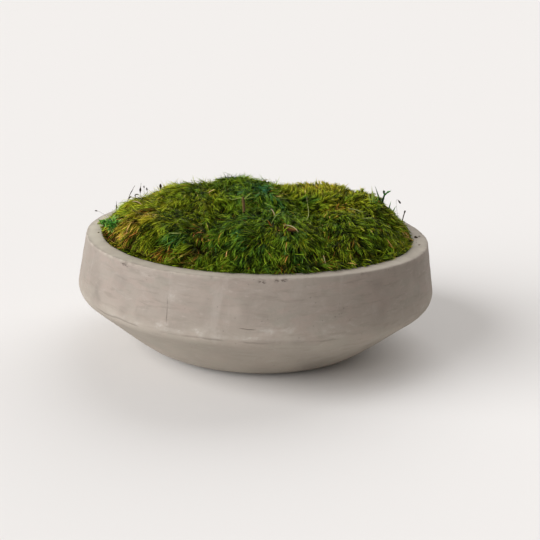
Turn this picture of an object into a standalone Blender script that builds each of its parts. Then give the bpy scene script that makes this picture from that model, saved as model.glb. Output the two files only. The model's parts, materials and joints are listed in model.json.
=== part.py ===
"""A low concrete bowl planted with cushions of moss.

The bowl is a turned shape: a band that leans in towards the rim, a rounded shoulder, and a shallow
cone down to a small foot. A bed of soil fills it to just under the rim. Nine moss cushions stand on
the soil, pressed against each other and against the wall, and their tops make one rolling surface.
A few bits of woodland litter lie on top.

Metres, +Z up. The origin is the middle of the foot. The front of the arrangement faces -Y.
"""

import math

import bmesh
import bpy
import numpy as np

# Bowl, outside
HEIGHT = 0.112
RIM_RADIUS = 0.1695
SHOULDER_RADIUS = 0.179  # where the band and the cone would meet in a sharp corner
SHOULDER_HEIGHT = 0.0575
SHOULDER_ROUND = 0.0135
FOOT_RADIUS = 0.110  # where the cone and the ground would meet in a sharp corner
FOOT_ROUND = 0.055
# Bowl, inside
RIM_WALL = 0.0165
RIM_ROUND = 0.0025
SHOULDER_WALL = 0.018
INNER_SHOULDER_RISE = 0.004  # how much higher the hollow's widest place is than the shoulder
INNER_SHOULDER_ROUND = 0.012
FLOOR = 0.020
FLOOR_RADIUS = 0.098
AROUND = 72  # steps in one turn
# Fits
GAP = 0.0004  # left between touching pieces
# Soil
SOIL_TOP = HEIGHT - 0.030
SOIL_ROUND = 0.014
# Moss
MOSS_RADIUS = RIM_RADIUS - RIM_WALL - 0.001
MOSS_EDGE = HEIGHT + 0.0005  # where the moss meets the wall
CREVICE = 0.006  # depth of the seams between cushions
SEAM_POWER = 6  # how narrow the seams are
FALL = 0.030  # how far a cushion falls over SPREAD
SPREAD = 0.095
BLEND = 0.005  # how softly neighbouring cushions run together
WALL_POWER = 7  # how close to the wall the moss starts to roll down
BLUNTNESS = 0.75  # 0.5 rolls down as a quarter round, 1 as a straight slope
BLUNTNESS_SWING = 0.20
SLOPED_SIDE = 0.35  # direction of the straightest slope, from +X
CUSHION_STEPS = 40
CUSHION_RINGS = (0.27, 0.50, 0.70, 0.87, 1.0)
# Each cushion's middle, x and y, and how far its top stands above the rim
CUSHIONS = {
    "moss_front_left": (-0.098, -0.080, 0.035),
    "moss_left": (-0.082, 0.008, 0.040),
    "moss_top": (-0.016, 0.010, 0.048),
    "moss_front": (0.010, -0.088, 0.038),
    "moss_right": (0.103, -0.066, 0.038),
    "moss_far_right": (0.118, 0.020, 0.043),
    "moss_back_right": (0.060, 0.040, 0.041),
    "moss_back_left": (-0.080, 0.092, 0.030),
    "moss_back": (0.018, 0.112, 0.024),
}
# Litter: routes of x, y and distance above the moss, and the rod's radius at each point
TWIG = (
    (-0.0125, -0.0700, 0.0015),
    (-0.0130, -0.0645, 0.0040),
    (-0.0136, -0.0590, 0.0064),
    (-0.0142, -0.0535, 0.0088),
)
TWIG_RADII = (0.0011, 0.0013, 0.0012, 0.0010)
TWIG_LEFT = ((-0.0141, -0.0545, 0.0078), (-0.0190, -0.0540, 0.0086), (-0.0255, -0.0545, 0.0084))
TWIG_RIGHT = ((-0.0138, -0.0545, 0.0074), (-0.0100, -0.0535, 0.0100), (-0.0065, -0.0525, 0.0125))
TWIG_BRANCH_RADII = (0.0006, 0.0006, 0.0004)
LEAF_MIDDLE = (0.0300, -0.1125)
LEAF_SIZE = (0.0125, 0.0050, 0.0006)
LEAF_LIFT = 0.0
LEAF_CURL = (0.0010, 0.0016)  # lengthways and crossways
SPRIG_ON_MOSS = ((-0.1370, -0.0520, 0.0028), (-0.1410, -0.0400, 0.0040), (-0.1465, -0.0240, 0.0044))
SPRIG_OVER_RIM = ((-0.1525, -0.0080, 0.0052), (-0.1600, 0.0045, 0.0024))  # distances above the rim
SPRIG_RADII = (0.0009, 0.0009, 0.0008, 0.0007, 0.0005)
SPRIG_LEAF = (0.0052, 0.0028, 0.0012)
SPRIG_LEAF_TURNS = (1.25, 1.25, 1.15, 1.05)
SPRIG_LEAF_LIFT = 0.0006
FORKED_ROOT = (0.1265, 0.0300, 0.0008)
# The forked sprig's other points, from its root
FORKED_STEM = ((0.0, 0.0, 0.0), (0.0006, 0.0002, 0.0030), (0.0014, 0.0005, 0.0060))
FORKED_RIGHT = ((0.0010, 0.0005, 0.0052), (0.0040, 0.0010, 0.0080), (0.0072, 0.0010, 0.0100))
FORKED_LEFT = ((0.0017, 0.0005, 0.0052), (0.0008, 0.0010, 0.0078), (0.0006, 0.0010, 0.0098))
FORKED_RADII = (0.0010, 0.0010, 0.0010)
FORKED_ARM_RADII = (0.0008, 0.0009, 0.0005)

# Each material: colour, roughness
FINISHES = {
    "concrete": ((0.42, 0.38, 0.33), 0.85),
    "soil": ((0.07, 0.045, 0.03), 0.95),
    "moss_green": ((0.07, 0.13, 0.02), 0.80),
    "moss_deep": ((0.03, 0.08, 0.02), 0.80),
    "moss_yellow": ((0.22, 0.22, 0.03), 0.80),
    "bark": ((0.28, 0.14, 0.09), 0.80),
    "dead_leaf": ((0.40, 0.17, 0.06), 0.75),
    "sprig_green": ((0.05, 0.25, 0.05), 0.60),
    "sprig_dark": ((0.03, 0.05, 0.02), 0.70),
}


def clear_scene():
    """Empty the scene that the script finds."""
    for found in list(bpy.data.objects):
        bpy.data.objects.remove(found, do_unlink=True)


def material(name):
    """A plain material with the colour and roughness of one finish."""
    made = bpy.data.materials.get(name)
    if made is None:
        colour, roughness = FINISHES[name]
        made = bpy.data.materials.new(name)
        made.use_nodes = True
        shader = made.node_tree.nodes["Principled BSDF"]
        shader.inputs["Base Color"].default_value = (*colour, 1.0)
        shader.inputs["Roughness"].default_value = roughness
        shader.inputs["Metallic"].default_value = 0.0
    return made


def add_object(name, mesh, finish):
    """Put a mesh into the scene under its name, with its finish."""
    piece = bpy.data.objects.new(name, mesh)
    bpy.context.scene.collection.objects.link(piece)
    mesh.materials.append(material(finish))
    return piece


def closed_mesh(name, points, faces):
    """A mesh of a closed body, with its faces turned outwards."""
    mesh = bpy.data.meshes.new(name)
    mesh.from_pydata([tuple(point) for point in points], [], faces)
    work = bmesh.new()
    work.from_mesh(mesh)
    bmesh.ops.remove_doubles(work, verts=work.verts, dist=1e-7)
    bmesh.ops.recalc_face_normals(work, faces=work.faces)
    work.to_mesh(mesh)
    work.free()
    mesh.shade_smooth()
    mesh.set_sharp_from_angle(angle=math.radians(35))
    return mesh


# ---- the bowl and its fill, turned shapes ----


def rounded(corner, before, after, radius, steps):
    """Points along the arc that rounds a corner between its two neighbours."""
    corner, before, after = (np.array(point, float) for point in (corner, before, after))
    back = (before - corner) / np.linalg.norm(before - corner)
    ahead = (after - corner) / np.linalg.norm(after - corner)
    half = math.acos(np.clip(back @ ahead, -1, 1)) / 2
    middle = (back + ahead) / np.linalg.norm(back + ahead)
    centre = corner + middle * radius / math.sin(half)
    first = corner + back * radius / math.tan(half) - centre
    last = corner + ahead * radius / math.tan(half) - centre
    turn = math.pi - 2 * half
    points = []
    for share in np.linspace(0, 1, steps):
        spoke = math.sin((1 - share) * turn) * first + math.sin(share * turn) * last
        points.append(tuple(centre + spoke / math.sin(turn)))
    return points


def turned(name, profile, finish):
    """Turn a profile of (radius, height) points about the Z axis.

    The profile starts and ends on the axis, so the body is closed.
    """
    mesh = bpy.data.meshes.new(name)
    points = [(radius, 0.0, height) for radius, height in profile]
    edges = [(index, index + 1) for index in range(len(points) - 1)]
    mesh.from_pydata(points, edges, [])
    piece = add_object(name, mesh, finish)
    screw = piece.modifiers.new("turn", "SCREW")
    screw.axis = "Z"
    screw.angle = math.tau
    screw.steps = AROUND
    screw.render_steps = AROUND
    screw.use_merge_vertices = True
    screw.merge_threshold = 0.00001
    screw.use_smooth_shade = True
    return piece


def bowl_profile():
    """The bowl's section, from the middle of the floor over the rim to the middle of the foot."""
    foot = (FOOT_RADIUS, 0.0)
    shoulder = (SHOULDER_RADIUS, SHOULDER_HEIGHT)
    rim_out = (RIM_RADIUS, HEIGHT)
    rim_in = (RIM_RADIUS - RIM_WALL, HEIGHT)
    shoulder_in = (SHOULDER_RADIUS - SHOULDER_WALL, SHOULDER_HEIGHT + INNER_SHOULDER_RISE)
    floor = (FLOOR_RADIUS, FLOOR)
    profile = [(0.0, FLOOR), floor]
    profile += rounded(shoulder_in, floor, rim_in, INNER_SHOULDER_ROUND, 3)
    profile += rounded(rim_in, shoulder_in, rim_out, RIM_ROUND, 3)
    profile += rounded(rim_out, rim_in, shoulder, RIM_ROUND, 3)
    profile += rounded(shoulder, rim_out, foot, SHOULDER_ROUND, 5)
    profile += rounded(foot, shoulder, (0.0, 0.0), FOOT_ROUND, 6)
    profile += [(0.0, 0.0)]
    return profile


def soil_profile():
    """The fill's section: the lower part of the hollow, a gap smaller all round."""
    wall_top = RIM_RADIUS - RIM_WALL
    wall_foot = SHOULDER_RADIUS - SHOULDER_WALL
    lean = (wall_foot - wall_top) / (HEIGHT - SHOULDER_HEIGHT - INNER_SHOULDER_RISE)
    brim = wall_top + lean * (HEIGHT - SOIL_TOP) - 2 * GAP
    shoulder_in = (wall_foot - 2 * GAP, SHOULDER_HEIGHT + INNER_SHOULDER_RISE)
    floor = (FLOOR_RADIUS - GAP, FLOOR + GAP)
    top = (brim, SOIL_TOP)
    profile = [(0.0, SOIL_TOP), top]
    profile += rounded(shoulder_in, top, floor, SOIL_ROUND, 3)
    profile += [floor, (0.0, FLOOR + GAP)]
    return profile


# ---- the moss ----


def moss_height(x, y):
    """Height of the moss surface over the ground, at arrays of x and y.

    Each cushion is a low dome. Where two domes meet, the higher one wins softly and the surface
    rolls down into the seam. Near the wall the whole surface rolls down to MOSS_EDGE.
    """
    total = 0.0
    for middle_x, middle_y, top in CUSHIONS.values():
        away = ((x - middle_x) ** 2 + (y - middle_y) ** 2) / SPREAD**2
        total = total + np.exp((top - FALL * away) / BLEND)
    rise = HEIGHT - MOSS_EDGE + BLEND * np.log(total) - CREVICE * seam_share(x, y) ** SEAM_POWER
    return MOSS_EDGE + rise * wall_share(x, y)


def seam_share(x, y):
    """How near a place is to a seam: 0 at the middle of its cushion, 1 halfway to a neighbour."""
    middles = np.array(list(CUSHIONS.values()))[:, :2]
    place = np.stack([np.asarray(x, float), np.asarray(y, float)], axis=-1)
    distances = np.linalg.norm(place[..., None, :] - middles, axis=-1)
    own = middles[np.argmin(distances, axis=-1)]
    apart = middles - own[..., None, :]
    squared = np.sum(apart**2, axis=-1)
    squared[squared == 0] = np.inf
    shares = 2 * np.sum((place - own)[..., None, :] * apart, axis=-1) / squared
    return np.clip(shares.max(axis=-1), 0, 1)


def wall_share(x, y):
    """How much of its height the moss keeps, from 1 in the middle to 0 at the wall.

    It falls as a straight slope at the right end of the bowl, and as a quarter round at the left end.
    """
    bluntness = BLUNTNESS + BLUNTNESS_SWING * np.cos(np.arctan2(y, x) - SLOPED_SIDE)
    outward = np.clip(np.hypot(x, y) / MOSS_RADIUS, 0.0, 1.0)
    return (1.0 - outward**WALL_POWER) ** bluntness


def outline(name):
    """Distance from a cushion's middle to its edge, in CUSHION_STEPS directions.

    The edge runs halfway to each neighbour, and along the wall.
    """
    x, y, _ = CUSHIONS[name]
    angles = np.arange(CUSHION_STEPS) * math.tau / CUSHION_STEPS
    ahead = np.stack([np.cos(angles), np.sin(angles)], axis=-1)
    along = ahead @ np.array([x, y])
    reach = -along + np.sqrt(along**2 + MOSS_RADIUS**2 - x**2 - y**2)
    for other, (other_x, other_y, _) in CUSHIONS.items():
        if other != name:
            apart = np.array([other_x - x, other_y - y])
            distance = np.linalg.norm(apart)
            facing = ahead @ (apart / distance)
            limit = (distance / 2 - GAP) / np.maximum(facing, 1e-6)
            reach = np.where(facing > 0.05, np.minimum(reach, limit), reach)
    return ahead, reach


def cushion(name, finish):
    """One moss cushion: its domed top, its sides and its flat underside on the soil."""
    x, y, _ = CUSHIONS[name]
    ahead, reach = outline(name)
    points = [(x, y, float(moss_height(x, y)))]
    for share in CUSHION_RINGS:
        ring_x = x + ahead[:, 0] * reach * share
        ring_y = y + ahead[:, 1] * reach * share
        points += zip(ring_x, ring_y, moss_height(ring_x, ring_y))
    under = SOIL_TOP + GAP
    points += [(px, py, under) for px, py, _ in points[-CUSHION_STEPS:]]
    points += [(x, y, under)]
    rings = len(CUSHION_RINGS) + 1
    last = len(points) - 1
    faces = []
    for step in range(CUSHION_STEPS):
        after = (step + 1) % CUSHION_STEPS
        faces.append((0, 1 + step, 1 + after))
        for ring in range(rings - 1):
            near = 1 + ring * CUSHION_STEPS
            far = near + CUSHION_STEPS
            faces.append((near + step, far + step, far + after, near + after))
        foot = 1 + (rings - 1) * CUSHION_STEPS
        faces.append((last, foot + after, foot + step))
    return add_object(name, closed_mesh(name, points, faces), finish)


# ---- the litter ----


def rod(name, path, radii, finish, sides=6):
    """A tapered rod along a path: a ring of points round each path point, closed at both ends."""
    path = np.array(path, float)
    tangents = np.gradient(path, axis=0)
    tangents /= np.linalg.norm(tangents, axis=1, keepdims=True)
    across = np.cross(tangents, (0.31, 0.23, 0.92))
    across /= np.linalg.norm(across, axis=1, keepdims=True)
    over = np.cross(tangents, across)
    angles = np.arange(sides) * math.tau / sides
    rings = path[:, None, :] + np.array(radii)[:, None, None] * (
        across[:, None, :] * np.cos(angles)[None, :, None] + over[:, None, :] * np.sin(angles)[None, :, None]
    )
    points = rings.reshape(-1, 3)
    faces = [tuple(range(sides)), tuple(range(len(points) - sides, len(points)))]
    for ring in range(len(path) - 1):
        for step in range(sides):
            near, after = ring * sides + step, ring * sides + (step + 1) % sides
            faces.append((near, after, after + sides, near + sides))
    return add_object(name, closed_mesh(name, points, faces), finish)


def grow_together(stem, *parts):
    """Make a stem and the parts that grow out of it one body."""
    for part in parts:
        union = stem.modifiers.new(part.name, "BOOLEAN")
        union.operation = "UNION"
        union.solver = "EXACT"
        union.object = part
        part.hide_render = True
        part.display_type = "WIRE"
    return stem


def on_moss(x, y, lift):
    """A point a given distance above the moss."""
    return (x, y, float(moss_height(x, y)) + lift)


def leaf_lobe(name, place, size, turn, finish):
    """A small leaf as a flattened ball, turned about Z."""
    work = bmesh.new()
    bmesh.ops.create_icosphere(work, subdivisions=1, radius=1.0)
    cosine, sine = math.cos(turn), math.sin(turn)
    for vert in work.verts:
        along, wide, high = vert.co.x * size[0], vert.co.y * size[1], vert.co.z * size[2]
        vert.co = (
            place[0] + along * cosine - wide * sine,
            place[1] + along * sine + wide * cosine,
            place[2] + high,
        )
    mesh = bpy.data.meshes.new(name)
    work.to_mesh(mesh)
    work.free()
    return add_object(name, mesh, finish)


def twig():
    """A forked twig that is stuck in the seam before the middle cushion, and leans back."""
    stem = rod("twig", [on_moss(*place) for place in TWIG], TWIG_RADII, "bark")
    left = rod("twig_left", [on_moss(*place) for place in TWIG_LEFT], TWIG_BRANCH_RADII, "bark")
    right = rod("twig_right", [on_moss(*place) for place in TWIG_RIGHT], TWIG_BRANCH_RADII, "bark")
    return grow_together(stem, left, right)


def dry_leaf():
    """A curled scrap of leaf, thin and closed, that rests on the front cushion."""
    long_steps, wide_steps = 7, 4
    length, width, thickness = LEAF_SIZE
    points = []
    for side in (thickness, 0.0):
        for u in np.linspace(-1, 1, long_steps):
            for v in np.linspace(-1, 1, wide_steps):
                x = LEAF_MIDDLE[0] + u * length / 2
                y = LEAF_MIDDLE[1] + v * width / 2 * math.sqrt(1.08 - u * u)
                curl = LEAF_CURL[0] * u * u + LEAF_CURL[1] * v * v
                points.append(on_moss(x, y, LEAF_LIFT + curl + side))
    sheet = long_steps * wide_steps
    faces = []
    for row in range(long_steps - 1):
        for column in range(wide_steps - 1):
            a = row * wide_steps + column
            b = a + wide_steps
            faces.append((a, b, b + 1, a + 1))
            faces.append((a + sheet, a + 1 + sheet, b + 1 + sheet, b + sheet))
    rim = list(range(wide_steps))
    rim += [row * wide_steps + wide_steps - 1 for row in range(1, long_steps)]
    rim += [sheet - 1 - column for column in range(1, wide_steps)]
    rim += [row * wide_steps for row in range(long_steps - 2, 0, -1)]
    for index, here in enumerate(rim):
        after = rim[(index + 1) % len(rim)]
        faces.append((here, after, after + sheet, here + sheet))
    return add_object("dry_leaf", closed_mesh("dry_leaf", points, faces), "dead_leaf")


def green_sprig():
    """A leafy sprig that comes out of the moss and lies over the left of the rim."""
    route = [on_moss(*place) for place in SPRIG_ON_MOSS]
    route += [(x, y, HEIGHT + lift) for x, y, lift in SPRIG_OVER_RIM]
    stem = rod("green_sprig", route, SPRIG_RADII, "sprig_green")
    leaves = []
    for number, (place, turn) in enumerate(zip(route[1:], SPRIG_LEAF_TURNS), start=1):
        centre = (place[0], place[1], place[2] + SPRIG_LEAF_LIFT)
        leaves.append(leaf_lobe(f"sprig_leaf_{number}", centre, SPRIG_LEAF, turn, "sprig_green"))
    return grow_together(stem, *leaves)


def dark_sprig():
    """A dark forked sprig that stands up from the right end of the moss."""
    root = np.array(on_moss(*FORKED_ROOT))
    stem = rod("dark_sprig", root + np.array(FORKED_STEM), FORKED_RADII, "sprig_dark")
    right = rod("sprig_arm_right", root + np.array(FORKED_RIGHT), FORKED_ARM_RADII, "sprig_dark")
    left = rod("sprig_arm_left", root + np.array(FORKED_LEFT), FORKED_ARM_RADII, "sprig_dark")
    return grow_together(stem, right, left)


def build():
    clear_scene()
    turned("bowl", bowl_profile(), "concrete")
    turned("soil_bed", soil_profile(), "soil")
    finishes = {"moss_top": "moss_deep", "moss_right": "moss_deep", "moss_back_right": "moss_yellow"}
    for name in CUSHIONS:
        cushion(name, finishes.get(name, "moss_green"))
    twig()
    dry_leaf()
    green_sprig()
    dark_sprig()


build()
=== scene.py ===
# %% [markdown]
# # A concrete bowl planted with moss
#
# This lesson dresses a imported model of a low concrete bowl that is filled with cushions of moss. The
# solids of the model fix where everything is. Here each of them gets its real surface: cast concrete
# with small chips and chalky marks, and cushions made of thousands of small combed leaves.
#
# Nearly everything is worked out as whole numpy arrays: a shape is a formula on a grid, and a cushion
# of moss is one formula for a leaf, repeated over an array of shoots.

# %% The frame and its box
import math

import bpy
import numpy as np
from mathutils import Matrix
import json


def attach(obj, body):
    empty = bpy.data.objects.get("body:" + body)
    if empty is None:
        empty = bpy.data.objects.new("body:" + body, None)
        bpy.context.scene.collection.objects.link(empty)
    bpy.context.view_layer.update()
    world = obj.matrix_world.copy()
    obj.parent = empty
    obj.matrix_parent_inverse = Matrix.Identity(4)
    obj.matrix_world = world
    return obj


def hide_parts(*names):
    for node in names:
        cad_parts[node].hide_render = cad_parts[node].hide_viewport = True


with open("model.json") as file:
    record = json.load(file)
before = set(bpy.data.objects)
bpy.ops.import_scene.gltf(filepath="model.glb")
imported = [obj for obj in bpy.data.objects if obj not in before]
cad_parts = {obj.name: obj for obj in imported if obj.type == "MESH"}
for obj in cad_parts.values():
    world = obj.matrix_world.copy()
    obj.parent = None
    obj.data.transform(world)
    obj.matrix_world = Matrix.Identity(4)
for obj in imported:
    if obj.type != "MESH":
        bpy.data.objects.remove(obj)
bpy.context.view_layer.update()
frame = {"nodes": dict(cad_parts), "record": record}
MM = 0.001
print("solids:", sorted(frame["nodes"]))

# %% [markdown]
# ## Camera
#
# The photograph looks slightly down on the bowl from about a metre away, and its horizon leans by two
# degrees. The camera is placed by those plain facts: how far it is, how high it looks from, the point it
# looks at, and its roll. The lens is given as the angle that the square picture spans.

# %% Camera
VIEW_DISTANCE = 1.0
VIEW_HEIGHT = math.radians(16.63)
VIEW_ROLL = math.radians(2.22)
VIEW_ANGLE = math.radians(30.7)
AIM = np.array([13.7, 0.0, 71.9]) * MM

camera_data = bpy.data.cameras.new("camera")
camera_data.sensor_fit = "HORIZONTAL"
camera_data.angle = VIEW_ANGLE
camera_data.clip_start = 0.02
camera = bpy.data.objects.new("camera", camera_data)
bpy.context.scene.collection.objects.link(camera)
back = np.array([0.0, -math.cos(VIEW_HEIGHT), math.sin(VIEW_HEIGHT)])
tilt = Matrix.Rotation(math.pi / 2 - VIEW_HEIGHT, 4, "X") @ Matrix.Rotation(VIEW_ROLL, 4, "Z")
camera.matrix_world = Matrix.Translation(AIM + VIEW_DISTANCE * back) @ tilt
bpy.context.scene.camera = camera
print("camera stands at", [round(value, 3) for value in camera.matrix_world.translation])

# %% [markdown]
# ## Floor and light
#
# The bowl stands in a pale studio. A broad window light from the left models the round wall, a softer lamp
# behind lights the moss from the back, and the pale, slightly warm room fills the shadows. Both lamps are
# suns with a wide angle, the plainest soft light: their shadows do not depend on how far away they are. A
# very large floor runs to beyond the picture, and past its end the camera sees a backdrop of its tone.

# %% Floor and light
FLOOR_COLOUR = (0.81, 0.80, 0.79)
FLOOR_SIZE = 60.0
LAMP_DISTANCE = 4.0
ROOM_LIGHT = 0.31
ROOM_COLOUR = (1.0, 0.93, 0.86)
# Beyond the floor the camera sees a pale backdrop, which gives no light of its own
BACKDROP = (0.893, 0.863, 0.845)
# Name, direction in degrees from the front towards the right, height in degrees, strength, softness, colour
LAMPS = (
    ("window", -64.0, 22.0, 4.15, 56.0, (0.99, 0.99, 1.0)),
    ("rear_softbox", 160.0, 33.0, 1.78, 70.0, (0.99, 0.99, 1.0)),
)


def floor_material():
    """Matt pale paper."""
    paper = bpy.data.materials.new("studio_paper")
    paper.use_nodes = True
    shader = paper.node_tree.nodes["Principled BSDF"]
    shader.inputs["Base Color"].default_value = (*FLOOR_COLOUR, 1.0)
    shader.inputs["Roughness"].default_value = 1.0
    shader.inputs["Specular IOR Level"].default_value = 0.0
    return paper


def studio():
    """The floor, the window light on the left, the softer one behind, the pale room and its backdrop."""
    half = FLOOR_SIZE / 2
    mesh = bpy.data.meshes.new("floor")
    corners = [(-half, -half, 0.0), (half, -half, 0.0), (half, half, 0.0), (-half, half, 0.0)]
    mesh.from_pydata(corners, [], [(0, 1, 2, 3)])
    floor = bpy.data.objects.new("floor", mesh)
    bpy.context.scene.collection.objects.link(floor)
    mesh.materials.append(floor_material())

    for name, degrees, height, strength, wide, colour in LAMPS:
        lamp_data = bpy.data.lights.new(name, "SUN")
        lamp_data.angle = math.radians(wide)
        lamp_data.energy = strength
        lamp_data.color = colour
        lamp = bpy.data.objects.new(name, lamp_data)
        bpy.context.scene.collection.objects.link(lamp)
        turn, rise = math.radians(degrees), math.radians(height)
        level = math.cos(rise)
        place = np.array([math.sin(turn) * level, -math.cos(turn) * level, math.sin(rise)])
        lamp.matrix_world = look_at(LAMP_DISTANCE * place, np.zeros(3))

    world = bpy.data.worlds.new("pale_room")
    bpy.context.scene.world = world
    world.use_nodes = True
    nodes, links = world.node_tree.nodes, world.node_tree.links
    background = nodes["Background"]
    background.inputs["Strength"].default_value = ROOM_LIGHT
    background.inputs["Color"].default_value = (*ROOM_COLOUR, 1.0)
    backdrop = nodes.new("ShaderNodeBackground")
    backdrop.inputs["Color"].default_value = (*BACKDROP, 1.0)
    seen = nodes.new("ShaderNodeMixShader")
    links.new(nodes.new("ShaderNodeLightPath").outputs["Is Camera Ray"], seen.inputs["Fac"])
    links.new(background.outputs["Background"], seen.inputs[1])
    links.new(backdrop.outputs["Background"], seen.inputs[2])
    links.new(seen.outputs["Shader"], nodes["World Output"].inputs["Surface"])


def look_at(place, target):
    """A matrix that stands at place and looks at target along its -Z."""
    away = (place - target) / np.linalg.norm(place - target)
    right = np.cross((0, 0, 1), away)
    right /= np.linalg.norm(right)
    up = np.cross(away, right)
    matrix = np.eye(4)
    matrix[:3, 0], matrix[:3, 1], matrix[:3, 2], matrix[:3, 3] = right, up, away, place
    return Matrix(matrix.tolist())


studio()
bpy.context.scene.view_settings.view_transform = "Standard"
print("studio ready")

# %% [markdown]
# ## Helpers: noise and meshes from arrays
#
# Hand-made and grown surfaces are never exact, so nearly every formula below adds a little smooth noise.
# It is value noise: random numbers on a lattice, blended smoothly in between, for a whole array of points
# at once. The other helpers list the faces of a grid of closed rings, and turn arrays of corners and faces
# into a mesh that rides on the model.

# %% Noise and mesh helpers
NOISE_SHIFT = 1000.5
NOISE_KEYS = (73856093, 19349663, 83492791, 2654435761)
NOISE_STIR = 1274126177


def noise(points, size, seed):
    """Smooth noise from -1 to 1 at an array of points, with lumps of about the given size.

    Each lattice corner gets a random number from its three whole coordinates, stirred by large odd
    numbers, and a point blends the eight corners round it with the curve 3t^2 - 2t^3.
    """
    scaled = np.asarray(points, float) / size + NOISE_SHIFT
    cell = np.floor(scaled).astype(np.int64)
    part = scaled - cell
    part = part * part * (3 - 2 * part)
    total = np.zeros(scaled.shape[:-1])
    for corner in np.ndindex(2, 2, 2):
        spot = cell + np.array(corner)
        mixed = seed * NOISE_KEYS[3]
        for axis in range(3):
            mixed = mixed ^ spot[..., axis] * NOISE_KEYS[axis]
        mixed = (mixed ^ (mixed >> 13)) * NOISE_STIR & 0x7FFFFFFF
        mixed = mixed ^ (mixed >> 16)
        weight = np.prod(np.where(np.array(corner) == 1, part, 1 - part), axis=-1)
        total += weight * ((mixed & 0xFFFF) / 32767.5 - 1)
    return total


def plan_noise(x, y, size, seed):
    """The same noise on the plan of the bowl."""
    return noise(np.stack([x, y, np.zeros_like(x)], axis=-1), size, seed)


def unit(vectors):
    """Vectors scaled to length one."""
    return vectors / np.maximum(np.linalg.norm(vectors, axis=-1, keepdims=True), 1e-12)


def new_piece(name, points, loops, sizes, material, slot):
    """A mesh object from arrays: corner places, the corners that each face uses, and each face's size."""
    mesh = bpy.data.meshes.new(name)
    points = np.ascontiguousarray(points, dtype=np.float32).reshape(-1, 3)
    sizes = np.asarray(sizes, dtype=np.int32)
    mesh.vertices.add(len(points))
    mesh.vertices.foreach_set("co", points.ravel())
    mesh.loops.add(len(loops))
    mesh.loops.foreach_set("vertex_index", np.asarray(loops, dtype=np.int32))
    mesh.polygons.add(len(sizes))
    mesh.polygons.foreach_set("loop_start", (np.cumsum(sizes) - sizes).astype(np.int32))
    mesh.polygons.foreach_set("use_smooth", np.full(len(sizes), True))
    mesh.update(calc_edges=True)
    mesh.validate()
    mesh.materials.append(material)
    piece = bpy.data.objects.new(name, mesh)
    bpy.context.scene.collection.objects.link(piece)
    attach(piece, "root")
    print(f"{name}: {len(points)} corners, {int((sizes - 2).sum())} triangles")
    return piece


def face_arrays(quads, triangles):
    """The corners that four-sided and then three-sided faces use, in one row, and each face's size."""
    return np.concatenate([quads.ravel(), triangles.ravel()]), np.repeat([4, 3], [len(quads), len(triangles)])


def grid_faces(rows, columns):
    """Four-sided faces of a grid of rows that each close on themselves, as arrays of corners."""
    row, column = np.meshgrid(np.arange(rows - 1), np.arange(columns), indexing="ij")
    after = (column + 1) % columns
    faces = [row * columns + column, row * columns + after]
    faces += [(row + 1) * columns + after, (row + 1) * columns + column]
    return np.stack(faces, axis=-1).reshape(-1, 4)


def fan_faces(middle, first, columns, turned):
    """Three-sided faces that close a round row with a corner at its middle, turned over if need be."""
    column = np.arange(columns)
    after = (column + 1) % columns
    around = [first + after, first + column] if turned else [first + column, first + after]
    return np.stack([np.full(columns, middle), *around], axis=-1)


def ring_faces(rows, columns, flip=False):
    """Faces of rings that follow each other, closed by one corner at each end, turned over with flip."""
    quads = grid_faces(rows, columns)
    start = fan_faces(rows * columns, 0, columns, not flip)
    end = fan_faces(rows * columns + 1, (rows - 1) * columns, columns, flip)
    return quads[:, ::-1] if flip else quads, np.concatenate([start, end])


# %% [markdown]
# ## The bowl
#
# The real bowl is cast in a mould and rubbed down by hand. Its section is a band that leans in towards
# the rim, a rounded shoulder, a straight cone and a well rounded foot. A section with rounded corners is
# carried round the axis, which is how a lathe or a turned mould makes it. The section's corners are the
# sizes that the solid has; the arcs between them are worked out.

# %% The bowl's section
HEIGHT = 112.0 * MM
RIM_RADIUS = 169.5 * MM
RIM_WALL = 16.5 * MM
RIM_ROUND = 1.5 * MM
SHOULDER = np.array([179.0, 57.5]) * MM
SHOULDER_ROUND = 13.5 * MM
FOOT = np.array([110.0, 0.0]) * MM
FOOT_ROUND = 55.0 * MM
INNER_SHOULDER = np.array([161.0, 61.5]) * MM
INNER_ROUND = 12 * MM
FLOOR_CORNER = np.array([98.0, 20.0]) * MM
INNER_RADIUS = RIM_RADIUS - RIM_WALL


def arc(corner, before, after, radius, steps):
    """Points of the arc that rounds a corner, from the line to before to the line to after.

    Both ends of the arc lie radius / tan(half the corner's angle) away from the corner. In between, the
    two spokes from the arc's centre are blended by sines, which keeps their length.
    """
    back, ahead = unit(before - corner), unit(after - corner)
    half = math.acos(float(np.clip(back @ ahead, -1, 1))) / 2
    centre = corner + unit(back + ahead) * radius / math.sin(half)
    first = corner + back * radius / math.tan(half) - centre
    last = corner + ahead * radius / math.tan(half) - centre
    turn = math.pi - 2 * half
    share = np.linspace(0, 1, steps)[:, None]
    return centre + (np.sin((1 - share) * turn) * first + np.sin(share * turn) * last) / math.sin(turn)


def line(start, end, steps):
    """Points on a straight line, without its ends."""
    return start + (end - start) * np.linspace(0, 1, steps + 2)[1:-1, None]


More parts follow.
